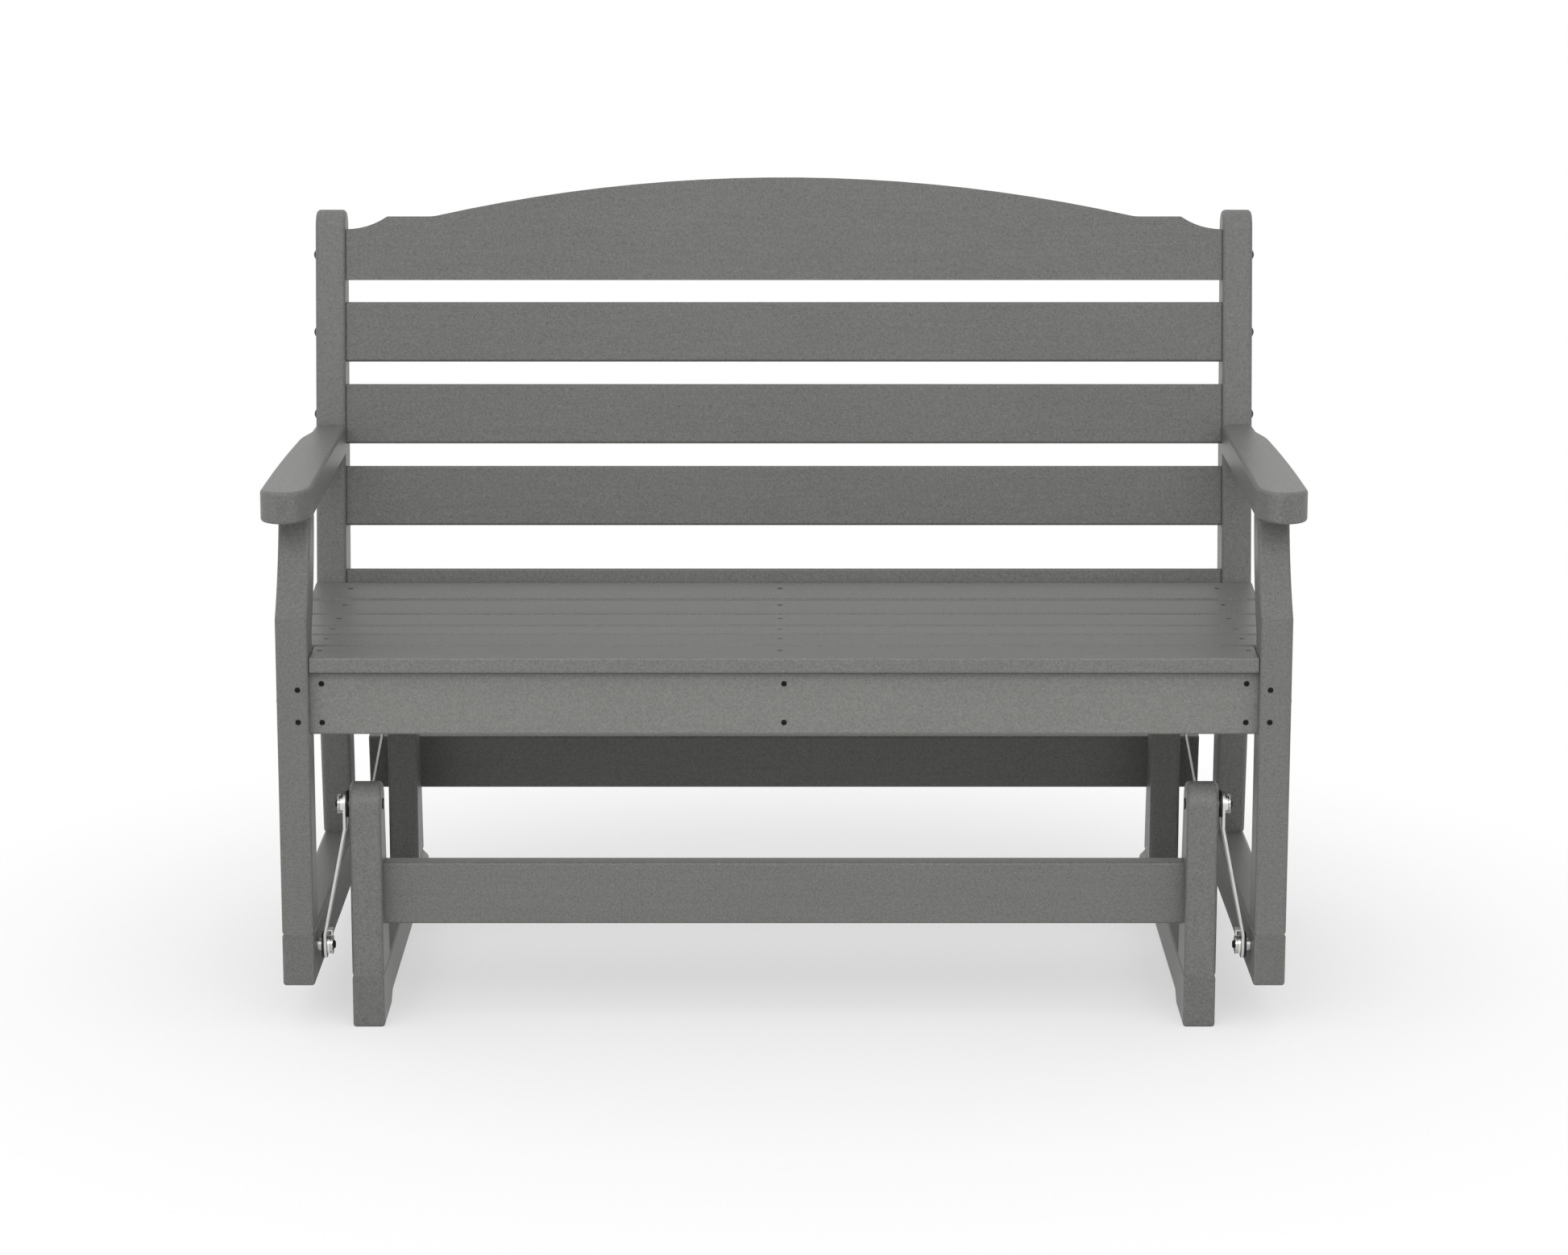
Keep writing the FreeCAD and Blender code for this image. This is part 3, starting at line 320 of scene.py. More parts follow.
class Wire:
    """One output of a node. Sums and products of wires add Math nodes to the same tree."""

    def __init__(self, net, socket):
        self.net = net
        self.socket = socket

    def math(self, operation, *others):
        values = dict(enumerate((self, *others)))
        return self.net.add("ShaderNodeMath", {"operation": operation}, values)

    def __add__(self, other):
        return self.math("ADD", other)

    def __sub__(self, other):
        return self.math("SUBTRACT", other)

    def __mul__(self, other):
        return self.math("MULTIPLY", other)

    def __truediv__(self, other):
        return self.math("DIVIDE", other)

    def __gt__(self, other):
        return self.math("GREATER_THAN", other)

    def __neg__(self):
        return self.math("MULTIPLY", -1.0)

    def __abs__(self):
        return self.math("ABSOLUTE")

    def __rsub__(self, other):
        return self.net.number(other).math("SUBTRACT", self)

    __radd__ = __add__
    __rmul__ = __mul__

    def clamped(self):
        """The value kept between 0 and 1."""
        return self.net.add("ShaderNodeClamp", {}, {0: self})

    def between(self, low, high):
        """0 at low, 1 at high and a smooth rise from one to the other."""
        settings = {"interpolation_type": "SMOOTHSTEP"}
        return self.net.add("ShaderNodeMapRange", settings, {"Value": self, 1: low, 2: high})


class Net:
    """A node tree that is built one node at a time."""

    def __init__(self, tree):
        self.tree = tree

    def add(self, kind, settings, values, output=0):
        """Adds a node, sets what it is told, then fills or links its sockets. Returns one output."""
        node = self.tree.nodes.new(kind)
        for name, setting in settings.items():
            setattr(node, name, setting)
        for key, value in values.items():
            if isinstance(value, Wire):
                self.tree.links.new(value.socket, node.inputs[key])
            else:
                node.inputs[key].default_value = value
        return Wire(self, node.outputs[output])

    def number(self, value):
        node = self.tree.nodes.new("ShaderNodeValue")
        node.outputs[0].default_value = value
        return Wire(self, node.outputs[0])

    def output_of(self, wire, output):
        """Another output of the node that a wire comes from."""
        return Wire(self, wire.socket.node.outputs[output])

    def seen(self):
        """1 on rays from the camera, a mirror or glass, and 0 on rays that only carry light."""
        camera = self.add("ShaderNodeLightPath", {}, {}, "Is Camera Ray")
        mirror = self.output_of(camera, "Is Glossy Ray")
        glass = self.output_of(camera, "Is Transmission Ray")
        return (camera + mirror + glass).clamped()


class ShaderNet(Net):
    """The nodes of one material."""

    def __init__(self, name):
        self.material = bpy.data.materials.new(name)
        self.material.use_nodes = True
        super().__init__(self.material.node_tree)
        self.tree.nodes.clear()
        self.place = self.add("ShaderNodeTexCoord", {}, {}, "Object")

    def stretched(self, scale):
        return self.add("ShaderNodeMapping", {}, {"Vector": self.place, "Scale": scale})

    def noise(self, size, detail=2.0, rough=0.5, place=None):
        values = {"Vector": place or self.place, "Scale": 1.0 / size, "Detail": detail, "Roughness": rough}
        return self.add("ShaderNodeTexNoise", {}, values, "Fac")

    def cells(self, size):
        """Distance to the middle of the nearest of many cells."""
        values = {"Vector": self.place, "Scale": 1.0 / size}
        return self.add("ShaderNodeTexVoronoi", {}, values, "Distance")

    def mix(self, share, first, second, way="MIX"):
        """Two colours mixed by a share."""
        settings = {"data_type": "RGBA", "blend_type": way}
        return self.add("ShaderNodeMix", settings, {0: share, 6: first, 7: second}, 2)

    def grey(self, value):
        return self.add("ShaderNodeCombineColor", {}, {0: value, 1: value, 2: value})

    def facing(self, axis):
        """How far the surface looks along an axis of the piece, from 0 to 1."""
        normal = self.add("ShaderNodeTexCoord", {}, {}, "Normal")
        return abs(self.add("ShaderNodeSeparateXYZ", {}, {"Vector": normal}, axis))

    def bump(self, height, depth):
        return self.add("ShaderNodeBump", {}, {"Height": height, "Distance": depth})

    def finish(self, shader):
        node = self.tree.nodes.new("ShaderNodeOutputMaterial")
        self.tree.links.new(shader.socket, node.inputs["Surface"])
        return self.material


def opaque(colour):
    return (colour[0], colour[1], colour[2], 1.0)


# Finishes

def lumber_finish(name, grain_axis, painted_light_and_shade):
    """Grey plastic lumber with a fine sandy skin and faint lines along the board, its tone scaled up by
    painted light or down by painted shade.
    """
    settings = bpy.context.scene.bench_lumber
    net = ShaderNet(name)
    scale = [1.0, 1.0, 1.0]
    scale[grain_axis] = 0.06
    streaks = net.noise(settings.streak_size, 2.0, 0.5, net.stretched(tuple(scale)))
    sand = net.noise(settings.sand_size, 2.0, 0.6)
    mottle = net.noise(settings.mottle_size, 2.0, 0.55)
    cloud = net.noise(settings.cloud_size, 1.0)
    flecks = 1.0 - net.cells(settings.sand_size * 1.4).between(0.10, 0.26)
    pits = 1.0 - net.cells(settings.sand_size * 1.8).between(0.08, 0.20)
    # The first term scales the whole tone: painted light on the apron and seat, painted shade on the back
    # boards
    tone = painted_light_and_shade + (sand - 0.5) * settings.sand_contrast + (mottle - 0.5) * settings.mottle_contrast
    tone = tone + (streaks - 0.5) * settings.streak_contrast + (cloud - 0.5) * settings.cloud_contrast
    tone = tone + flecks * 0.16 - pits * 0.14
    cut = net.facing(grain_axis).between(0.93, 0.99)
    plain = net.mix(cut, opaque(settings.colour), opaque(settings.cut_colour))
    colour = net.add("ShaderNodeVectorMath", {"operation": "SCALE"}, {0: plain, "Scale": tone})
    height = sand * 0.7 + mottle * 0.5 + streaks * 0.15 - pits * 0.5 + flecks * 0.25
    shader = net.add("ShaderNodeBsdfPrincipled", {}, {
        "Base Color": colour,
        "Roughness": (settings.roughness + (mottle - 0.5) * 0.2 + cut * 0.15).clamped(),
        "Normal": net.bump(height, settings.grain_height),
        "Specular IOR Level": 0.38,
    })
    return net.finish(shader)


def zinc_finish(name, colour, roughness):
    """Bright plated steel with faint clouding and fine drawn lines."""
    net = ShaderNet(name)
    drawn = net.noise(0.0006, 2.0, 0.5, net.stretched((1.0, 1.0, 0.04)))
    cloud = net.noise(0.007, 2.0)
    tone = 0.93 + (cloud - 0.5) * 0.22 + (drawn - 0.5) * 0.10
    shader = net.add("ShaderNodeBsdfPrincipled", {}, {
        "Base Color": net.mix(1.0, opaque(colour), net.grey(tone), "MULTIPLY"),
        "Roughness": (roughness + (cloud - 0.5) * 0.16 + (drawn - 0.5) * 0.08).clamped(),
        "Metallic": 1.0,
        "Normal": net.bump(drawn, 0.00004),
    })
    return net.finish(shader)


def dark_finish(name, colour, roughness, metal):
    """Black plating or moulded black plastic, a little worn."""
    net = ShaderNet(name)
    wear = net.noise(0.0014, 3.0, 0.6)
    worn = wear.between(0.60, 0.74) * 0.30
    lighter = tuple(part * 4.0 + 0.01 for part in colour)
    shader = net.add("ShaderNodeBsdfPrincipled", {}, {
        "Base Color": net.mix(worn, opaque(colour), opaque(lighter)),
        "Roughness": (roughness + (wear - 0.5) * 0.22).clamped(),
        "Metallic": metal,
        "Specular IOR Level": 0.3,
        "Normal": net.bump(wear, 0.00006),
    })
    return net.finish(shader)


def give(piece, material):
    """Puts one material on every face of a piece."""
    slots = piece.data.materials
    if len(slots) == 0:
        slots.append(material)
    for i in range(len(slots)):
        piece.material_slots[i].material = material


# Places of fasteners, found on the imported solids

def solids_of(node):
    """Corners of each separate solid of a node, as lists of vectors."""
    shape = bmesh.new()
    shape.from_mesh(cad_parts[node].data)
    bmesh.ops.remove_doubles(shape, verts=shape.verts, dist=1e-6)
    left = set(shape.verts)
    solids = []
    while left:
        reached = [left.pop()]
        for corner in reached:
            for edge in corner.link_edges:
                other = edge.other_vert(corner)
                if other in left:
                    left.remove(other)
                    reached.append(other)
        solids.append([corner.co.copy() for corner in reached])
    shape.free()
    return solids


def middle_of(corners):
    low = Vector([min(c[i] for c in corners) for i in range(3)])
    high = Vector([max(c[i] for c in corners) for i in range(3)])
    return (low + high) / 2


def long_way(corners):
    """Unit vector along the longest way of a thin solid."""
    centre = middle_of(corners)
    ends = sorted(corners, key=lambda c: (c - centre).length)
    way = (ends[-1] - centre).normalized()
    for _ in range(6):
        total = Vector((0, 0, 0))
        for corner in corners:
            arm = corner - centre
            total += arm * arm.dot(way)
        way = total.normalized()
    return way


def spread(corners, centre, way, low, high):
    """Largest distance from the axis among the corners between two heights along it."""
    widest = 0.0
    for corner in corners:
        height = (corner - centre).dot(way)
        if low <= height <= high:
            widest = max(widest, ((corner - centre) - way * height).length)
    return widest


class Place:
    """Where one fastener sits: the top of its head, the way that looks out of it and its length."""

    def __init__(self, corners):
        way = long_way(corners)
        centre = sum(corners, Vector((0, 0, 0))) / len(corners)
        heights = [(c - centre).dot(way) for c in corners]
        low = min(heights)
        high = max(heights)
        near_high = spread(corners, centre, way, high - 0.0035, high)
        near_low = spread(corners, centre, way, low, low + 0.0035)
        if near_low > near_high:
            way = -way
            low, high = -high, -low
        self.facing = way
        self.head = centre + way * high
        self.length = high - low


# Geometry node trees

class ShapeNet(Net):
    """A geometry node tree with named inputs for its sizes."""

    def __init__(self, name, sizes):
        super().__init__(bpy.data.node_groups.new(name, "GeometryNodeTree"))
        panel = self.tree.interface
        panel.new_socket("Geometry", in_out="INPUT", socket_type="NodeSocketGeometry")
        panel.new_socket("Geometry", in_out="OUTPUT", socket_type="NodeSocketGeometry")
        for size in sizes:
            panel.new_socket(size, in_out="INPUT", socket_type="NodeSocketFloat")
        panel.new_socket("Finish", in_out="INPUT", socket_type="NodeSocketMaterial")
        self.inlet = self.tree.nodes.new("NodeGroupInput")

    def size(self, name):
        return Wire(self, self.inlet.outputs[name])

    def vector(self, x=0.0, y=0.0, z=0.0):
        return self.add("ShaderNodeCombineXYZ", {}, {0: x, 1: y, 2: z})

    def cylinder(self, radius, depth, top, sides=24, rings=1):
        """Closed cylinder along Z whose upper face is at top."""
        settings = {"fill_type": "NGON" if rings == 1 else "TRIANGLE_FAN"}
        values = {"Vertices": sides, "Side Segments": 1, "Radius": radius, "Depth": depth}
        if rings > 1:
            values["Fill Segments"] = rings
        shape = self.add("GeometryNodeMeshCylinder", settings, values)
        return self.moved(shape, self.vector(z=top - depth * 0.5))

    def cone(self, top_radius, bottom_radius, depth, top, sides=24):
        shape = self.add("GeometryNodeMeshCone", {"fill_type": "NGON"}, {
            "Vertices": sides, "Radius Top": top_radius, "Radius Bottom": bottom_radius, "Depth": depth,
        })
        return self.moved(shape, self.vector(z=top - depth))

    def block(self, x, y, z, middle):
        shape = self.add("GeometryNodeMeshCube", {}, {"Size": self.vector(x, y, z)})
        return self.moved(shape, middle)

    def moved(self, shape, offset):
        return self.add("GeometryNodeTransform", {}, {"Geometry": shape, "Translation": offset})

    def joined(self, *shapes):
        node = self.tree.nodes.new("GeometryNodeJoinGeometry")
        for shape in reversed(shapes):
            self.tree.links.new(shape.socket, node.inputs[0])
        return Wire(self, node.outputs[0])

    def cut(self, shape, *cutters):
        """A closed shape with others cut out of it."""
        node = self.tree.nodes.new("GeometryNodeMeshBoolean")
        node.operation = "DIFFERENCE"
        node.solver = "EXACT"
        self.tree.links.new(shape.socket, node.inputs["Mesh 1"])
        for cutter in cutters:
            self.tree.links.new(cutter.socket, node.inputs["Mesh 2"])
        return Wire(self, node.outputs["Mesh"])

    def ring(self, outer, bore, depth, top, edge_round, sides=48):
        """Ring along Z with rounded edges, swept from its section."""
        width = outer - bore
        circle = self.add("GeometryNodeCurvePrimitiveCircle", {"mode": "RADIUS"}, {
            "Resolution": sides, "Radius": (outer + bore) * 0.5,
        })
        section = self.add("GeometryNodeCurvePrimitiveQuadrilateral", {"mode": "RECTANGLE"}, {
            "Width": width, "Height": depth,
        })
        section = self.add("GeometryNodeFilletCurve", {}, {
            "Curve": section, "Radius": edge_round,
        })
        shape = self.add("GeometryNodeCurveToMesh", {}, {
            "Curve": circle, "Profile Curve": section, "Fill Caps": False,
        })
        return self.moved(shape, self.vector(z=top - depth * 0.5))

    def round_about(self, shape, count):
        """Copies of a shape at even steps round the Z axis."""
        circle = self.add("GeometryNodeMeshCircle", {"fill_type": "NONE"}, {
            "Vertices": count, "Radius": 0.001,
        })
        place = self.add("GeometryNodeInputPosition", {}, {})
        turn = self.add("FunctionNodeAlignRotationToVector", {"axis": "X"}, {"Vector": place})
        centre = self.add("GeometryNodeSetPosition", {}, {
            "Geometry": circle, "Position": self.vector(),
        })
        spun = self.add("GeometryNodeInstanceOnPoints", {}, {
            "Points": self.kept_turn(centre, circle, turn), "Instance": shape,
            "Rotation": self.add("GeometryNodeInputNamedAttribute", {"data_type": "QUATERNION"}, {
                "Name": "turn",
            }),
        })
        return self.add("GeometryNodeRealizeInstances", {}, {"Geometry": spun})

    def kept_turn(self, centre, circle, turn):
        """Stores each point's turn before all of them go to the centre."""
        stored = self.add("GeometryNodeStoreNamedAttribute", {"data_type": "QUATERNION"}, {
            "Geometry": circle, "Name": "turn", "Value": turn,
        })
        self.tree.links.new(stored.socket, centre.socket.node.inputs["Geometry"])
        return centre

    def at_points(self, shape, seed):
        """A copy of the shape on each point, its Z axis along facing, with a chance spin about it."""
        facing = self.add("GeometryNodeInputNamedAttribute", {"data_type": "FLOAT_VECTOR"}, {
            "Name": "facing",
        })
        aimed = self.add("FunctionNodeAlignRotationToVector", {"axis": "Z"}, {"Vector": facing})
        angle = self.add("FunctionNodeRandomValue", {"data_type": "FLOAT"}, {
            "Min": 0.0, "Max": math.tau, "Seed": seed,
        }, 1)
        spin = self.add("FunctionNodeAxisAngleToRotation", {}, {"Axis": (0.0, 0.0, 1.0), "Angle": angle})
        turn = self.add("FunctionNodeRotateRotation", {"rotation_space": "LOCAL"}, {
            "Rotation": aimed, "Rotate By": spin,
        })
        points = self.size("Geometry")
        return self.add("GeometryNodeInstanceOnPoints", {}, {
            "Points": points, "Instance": shape, "Rotation": turn,
        })

    def finish(self, instances):
        """Makes real geometry of the copies, gives it its material and ends the tree."""
        real = self.add("GeometryNodeRealizeInstances", {}, {"Geometry": instances})
        painted = self.add("GeometryNodeSetMaterial", {}, {
            "Geometry": real, "Material": self.size("Finish"),
        })
        outlet = self.tree.nodes.new("NodeGroupOutput")
        self.tree.links.new(painted.socket, outlet.inputs[0])
        return self.tree


def screw_tree():
    """Countersunk screw with a cross recess, its head's face at the point."""
    net = ShapeNet("cross screw", [
        "Head Radius", "Head Height", "Shank Radius", "Length", "Drive Width", "Drive Reach", "Drive Depth",
    ])
    height = net.size("Head Height")
    shank = net.size("Shank Radius")
    tip = shank * 2.2
    rim = net.cylinder(net.size("Head Radius"), height * 0.15, net.number(0.0))
    head = net.cone(net.size("Head Radius"), shank, height * 0.85, height * -0.15)
    reach = net.size("Drive Reach") * 2.0
    width = net.size("Drive Width")
    depth = net.size("Drive Depth") * 2.0
    slots = [
        net.block(reach, width, depth, (0.0, 0.0, 0.0)),
        net.block(width, reach, depth, (0.0, 0.0, 0.0)),
    ]
    rod_length = net.size("Length") - height - tip
    rod = net.cylinder(shank, rod_length, -height, 16)
    point = net.cone(shank, shank * 0.12, tip, -(height + rod_length), 16)
    solid = net.joined(net.cut(net.joined(rim, head), *slots), rod, point)
    return net.finish(net.at_points(solid, 3))


def bolt_tree():
    """Bolt with a domed or flat head, a hexagonal socket and a plain shank; its seat is at the point."""
    net = ShapeNet("socket bolt", [
        "Head Radius", "Head Height", "Crown", "Shank Radius", "Length", "Socket Radius", "Socket Depth",
    ])
    radius = net.size("Head Radius")
    height = net.size("Head Height")
    crown = net.size("Crown")
    skirt = net.cylinder(radius, height - crown, height - crown, 32, 6)
    place = net.add("GeometryNodeInputPosition", {}, {})
    parts = net.add("ShaderNodeSeparateXYZ", {}, {"Vector": place}, "X")
    across = (parts * parts + net.output_of(parts, "Y") * net.output_of(parts, "Y")) / (radius * radius)
    upper = net.output_of(parts, "Z") > (height - crown) * 0.5
    lift = net.vector(z=(1.0 - across) * crown)
    domed = net.add("GeometryNodeSetPosition", {}, {"Geometry": skirt, "Selection": upper, "Offset": lift})
    socket = net.cylinder(net.size("Socket Radius"), net.size("Socket Depth") * 2.0,
                          height + net.size("Socket Depth"), 6)
    rod = net.cylinder(net.size("Shank Radius"), net.size("Length"), net.number(0.0), 16)
    solid = net.joined(net.cut(domed, socket), rod)
    return net.finish(net.at_points(solid, 5))


def ring_tree():
    """Washer or spacer with rounded edges; its far face is at the point."""
    net = ShapeNet("ring", ["Outer Radius", "Bore Radius", "Thickness", "Edge Round"])
    thickness = net.size("Thickness")
    shape = net.ring(net.size("Outer Radius"), net.size("Bore Radius"), thickness, thickness,
                     net.size("Edge Round"))
    return net.finish(net.at_points(shape, 7))


def nut_tree():
    """Low six-sided nut with a round closed end; its far face is at the point."""
    net = ShapeNet("closed nut", ["Outer Radius", "Height", "Cap Radius", "Cap Height"])
    height = net.size("Height")
    flat = height - net.size("Cap Height")
    nut = net.cylinder(net.size("Outer Radius"), flat, flat, 6)
    cap = net.cone(net.size("Cap Radius") * 0.8, net.size("Cap Radius"), height - flat * 0.5, height, 32)
    return net.finish(net.at_points(net.joined(nut, cap), 11))


def bearing_tree():
    """Pressed bearing: a drum, a groove and a notched rim round a sunk face; the strap is at the point."""
    net = ShapeNet("pressed bearing", [
        "Length", "Bore Radius", "Drum Radius", "Drum Length", "Groove Radius", "Rim Radius",
        "Rim Thickness", "Face Sink", "Notch Width", "Notch Depth", "Notches", "Edge Round",
    ])
    length = net.size("Length")
    bore = net.size("Bore Radius")
    edge = net.size("Edge Round")
    drum_length = net.size("Drum Length")
    drum = net.ring(net.size("Drum Radius"), bore, drum_length, drum_length, edge * 1.5, 72)
    face = length - net.size("Face Sink")
    core = net.ring(net.size("Groove Radius"), bore * 1.6, face, face, edge, 72)
    rim_radius = net.size("Rim Radius")
    rim_thick = net.size("Rim Thickness")
    rim = net.ring(rim_radius, net.size("Groove Radius") * 0.92, rim_thick, length, edge * 1.2, 72)
    notch = net.block(net.size("Notch Depth") * 2.0, net.size("Notch Width"), rim_thick * 1.5,
                      net.vector(rim_radius, 0.0, length))
    notched = net.cut(rim, net.round_about(notch, net.size("Notches")))
    inner = net.ring(bore * 1.5, bore, length, length, edge, 48)
    return net.finish(net.at_points(net.joined(drum, core, notched, inner), 13))


# Making pieces from trees

def points_at(name, spots):
    """A mesh of loose points, each with the way that it faces. spots are (point, facing) pairs."""
    mesh = bpy.data.meshes.new(name)
    mesh.from_pydata([spot for spot, _ in spots], [], [])
    facing = mesh.attributes.new("facing", "FLOAT_VECTOR", "POINT")
    for i, (_, way) in enumerate(spots):
        facing.data[i].vector = way
    piece = bpy.data.objects.new(name, mesh)
    bpy.context.scene.collection.objects.link(piece)
    return piece


def grown(name, tree, spots, sizes, finish):
    """Runs a tree on points and returns the result as a plain mesh piece."""
    source = points_at(name + "_points", spots)
    modifier = source.modifiers.new("shape", "NODES")
    modifier.node_group = tree
    values = dict(sizes, Finish=finish)
    for item in tree.interface.items_tree:
        if item.in_out == "INPUT" and item.name in values:
            modifier[item.identifier] = values[item.name]
    depsgraph = bpy.context.evaluated_depsgraph_get()
    mesh = bpy.data.meshes.new_from_object(source.evaluated_get(depsgraph))
    mesh.name = name
    bpy.data.objects.remove(source)
    for attribute in [a.name for a in mesh.attributes if a.name in ("facing", "turn")]:
        mesh.attributes.remove(mesh.attributes[attribute])
    mesh.shade_smooth()
    mesh.set_sharp_from_angle(angle=math.radians(32))
    piece = bpy.data.objects.new(name, mesh)
    bpy.context.scene.collection.objects.link(piece)
    if len(mesh.polygons) == 0:
        raise RuntimeError(name + " has no faces")
    return piece


def stands_for(piece, body, node):
    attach(piece, body)
    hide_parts(node)


def along_x(node, way_out):
    """Middle point and facing of each ring-like solid of a node that lies along X.

    way_out is 1 where the pieces look away from the bench's middle and -1 where they look to it."""
    spots = []
    for corners in solids_of(node):
        side = 1.0 if corners[0].x > 0 else -1.0
        facing = Vector((side * way_out, 0, 0))
        centre = middle_of(corners)
        inner = min(c.x * side * way_out for c in corners) * side * way_out
        spots.append((Vector((inner, centre.y, centre.z)), facing))
    return spots


def part_length(node):
    """Length along X of each of a node's equal solids."""
    corners = solids_of(node)[0]
    return max(c.x for c in corners) - min(c.x for c in corners)


def radius_of(node):
    corners = solids_of(node)[0]
    return (max(c.z for c in corners) - min(c.z for c in corners)) / 2


# Operators

class BENCH_OT_lumber(bpy.types.Operator):
    """Give every board its plastic lumber finish, with the grain along the board; the apron and seat get
    painted light and the back boards painted shade
    """
    bl_idname = "bench.lumber"
    bl_label = "Finish Boards"

    def execute(self, context):
        settings = context.scene.bench_lumber
        groups = (
            # The apron and seat groups get painted light and the back group painted shade; the other groups
            # keep the plain tone
            ("lumber_apron", 0, settings.apron_painted_light, ["front_apron"]),
            ("lumber_seat", 0, settings.seat_painted_light, SEAT_BOARDS),
            ("lumber_back", 0, settings.back_painted_shade, BACK_BOARDS),
            ("lumber_across", 0, 1.0, STRETCHERS),
            ("lumber_along", 1, 1.0, BOARDS_ALONG),
            ("lumber_upright", 2, 1.0, BOARDS_UPRIGHT),
        )
        for name, axis, painted_light_and_shade, boards in groups:
            finish = lumber_finish(name, axis, painted_light_and_shade)
            for board in boards:
                give(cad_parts[board], finish)
        return {"FINISHED"}


class BENCH_OT_links(bpy.types.Operator):
    """Finish the four straps and make their pressed bearings"""
    bl_idname = "bench.links"
    bl_label = "Make Links"

    def execute(self, context):
        sizes = context.scene.bench_pivots
        strap = zinc_finish("strap_zinc", (0.66, 0.66, 0.64), 0.38)
        cup = zinc_finish("bearing_zinc", (0.72, 0.72, 0.70), 0.26)
        tree = bearing_tree()
        for link in LINKS:
            give(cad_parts["link_strap_" + link], strap)
            node = "link_bearings_" + link
            spots = []
            for corners in solids_of(node):
                centre = middle_of(corners)
                upper = centre.z > middle_of([c for part in solids_of(node) for c in part]).z
                side = 1.0 if centre.x > 0 else -1.0
                way = side if upper else -side
                face = min(c.x * way for c in corners) * way
                spots.append((Vector((face, centre.y, centre.z)), Vector((way, 0, 0))))
            piece = grown("bearings_" + link, tree, spots, {
                "Length": part_length(node), "Bore Radius": sizes.bore_radius,
                "Drum Radius": sizes.drum_radius, "Drum Length": sizes.drum_length,
                "Groove Radius": sizes.groove_radius, "Rim Radius": sizes.rim_radius,
                "Rim Thickness": sizes.rim_thick, "Face Sink": sizes.face_sink,
                "Notch Width": sizes.notch_width, "Notch Depth": sizes.notch_depth,
                "Notches": sizes.rim_notches, "Edge Round": sizes.edge_round,
            }, cup)
            stands_for(piece, "link_" + link, node)
        return {"FINISHED"}


class BENCH_OT_screws(bpy.types.Operator):
    """Make the countersunk screws with cross recesses"""
    bl_idname = "bench.screws"
    bl_label = "Make Screws"

    def execute(self, context):
        sizes = context.scene.bench_screws
        finish = dark_finish("screw_black", (0.006, 0.006, 0.006), 0.5, 0.2)
        tree = screw_tree()
        groups = (
            ("seat", "seat_slat_screws"), ("seat", "apron_screws"), ("seat", "side_rail_screws"),
            ("seat", "support_screws"), ("base", "base_stretcher_screws"),
        )
        for body, node in groups:
            places = [Place(corners) for corners in solids_of(node)]
            piece = grown(node + "_cross", tree, [(p.head, p.facing) for p in places], {
                "Head Radius": sizes.head_radius, "Head Height": sizes.head_height,
                "Shank Radius": sizes.shank_radius, "Length": places[0].length,
                "Drive Width": sizes.drive_width, "Drive Reach": sizes.drive_reach,
                "Drive Depth": sizes.drive_depth,
            }, finish)
            stands_for(piece, body, node)
        return {"FINISHED"}


class BENCH_OT_bolts(bpy.types.Operator):
    """Make the button-head bolts and the bolts that are sunk in pockets"""
    bl_idname = "bench.bolts"
    bl_label = "Make Bolts"

    def execute(self, context):
        sizes = context.scene.bench_bolts
        finish = dark_finish("bolt_black", (0.008, 0.008, 0.008), 0.4, 0.2)
        tree = bolt_tree()
        buttons = (sizes.button_radius, sizes.button_height, sizes.button_height * 0.72)
        sunk = (sizes.sunk_radius, sizes.sunk_height, sizes.sunk_height * 0.08)
        groups = (
            ("seat", "cross_board_bolts", buttons), ("base", "base_stretcher_bolts", buttons),
            ("seat", "seat_leg_bolts", sunk), ("seat", "post_bolts", sunk), ("base", "base_leg_bolts", sunk),
        )
        for body, node, (radius, height, crown) in groups:
            spots = []
            places = [Place(corners) for corners in solids_of(node)]
            for place in places:
                spots.append((place.head - place.facing * height, place.facing))
            piece = grown(node + "_socket", tree, spots, {
                "Head Radius": radius, "Head Height": height, "Crown": crown,
                "Shank Radius": sizes.shank_radius, "Length": min(p.length for p in places) - height,
                "Socket Radius": sizes.socket_radius, "Socket Depth": sizes.socket_depth,
            }, finish)
            stands_for(piece, body, node)
        give(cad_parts["arm_pins"], finish)
        return {"FINISHED"}


class BENCH_OT_pivots(bpy.types.Operator):
    """Make the washers, spacers and nuts of the eight pivots and finish their bolts"""
    bl_idname = "bench.pivots"
    bl_label = "Make Pivots"

    def execute(self, context):
        sizes = context.scene.bench_pivots
        bright = zinc_finish("washer_zinc", (0.78, 0.78, 0.76), 0.3)
        plastic = dark_finish("spacer_black", (0.014, 0.014, 0.015), 0.42, 0.0)
        black = dark_finish("nut_black", (0.016, 0.016, 0.016), 0.34, 0.5)
        rings = ring_tree()
        nuts = nut_tree()
        kinds = (("washers", bright, "zinc_steel"), ("spacers", plastic, "black_plastic"))
        for level, body, way in (("upper", "base", 1.0), ("lower", "seat", -1.0)):
            for kind, finish, slot in kinds:
                node = "%s_pivot_%s" % (level, kind)
                piece = grown(node + "_rounded", rings, along_x(node, way), {
                    "Outer Radius": radius_of(node), "Bore Radius": sizes.bore_radius,
                    "Thickness": part_length(node), "Edge Round": sizes.edge_round,
                }, finish)
                stands_for(piece, body, node)
            node = "%s_pivot_nuts" % level
            piece = grown(node + "_capped", nuts, along_x(node, way), {
                "Outer Radius": radius_of(node), "Height": part_length(node),
                "Cap Radius": sizes.cap_radius, "Cap Height": sizes.cap_height,
            }, black)
            stands_for(piece, body, node)
            give(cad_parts["%s_pivot_bolts" % level], black)
        return {"FINISHED"}


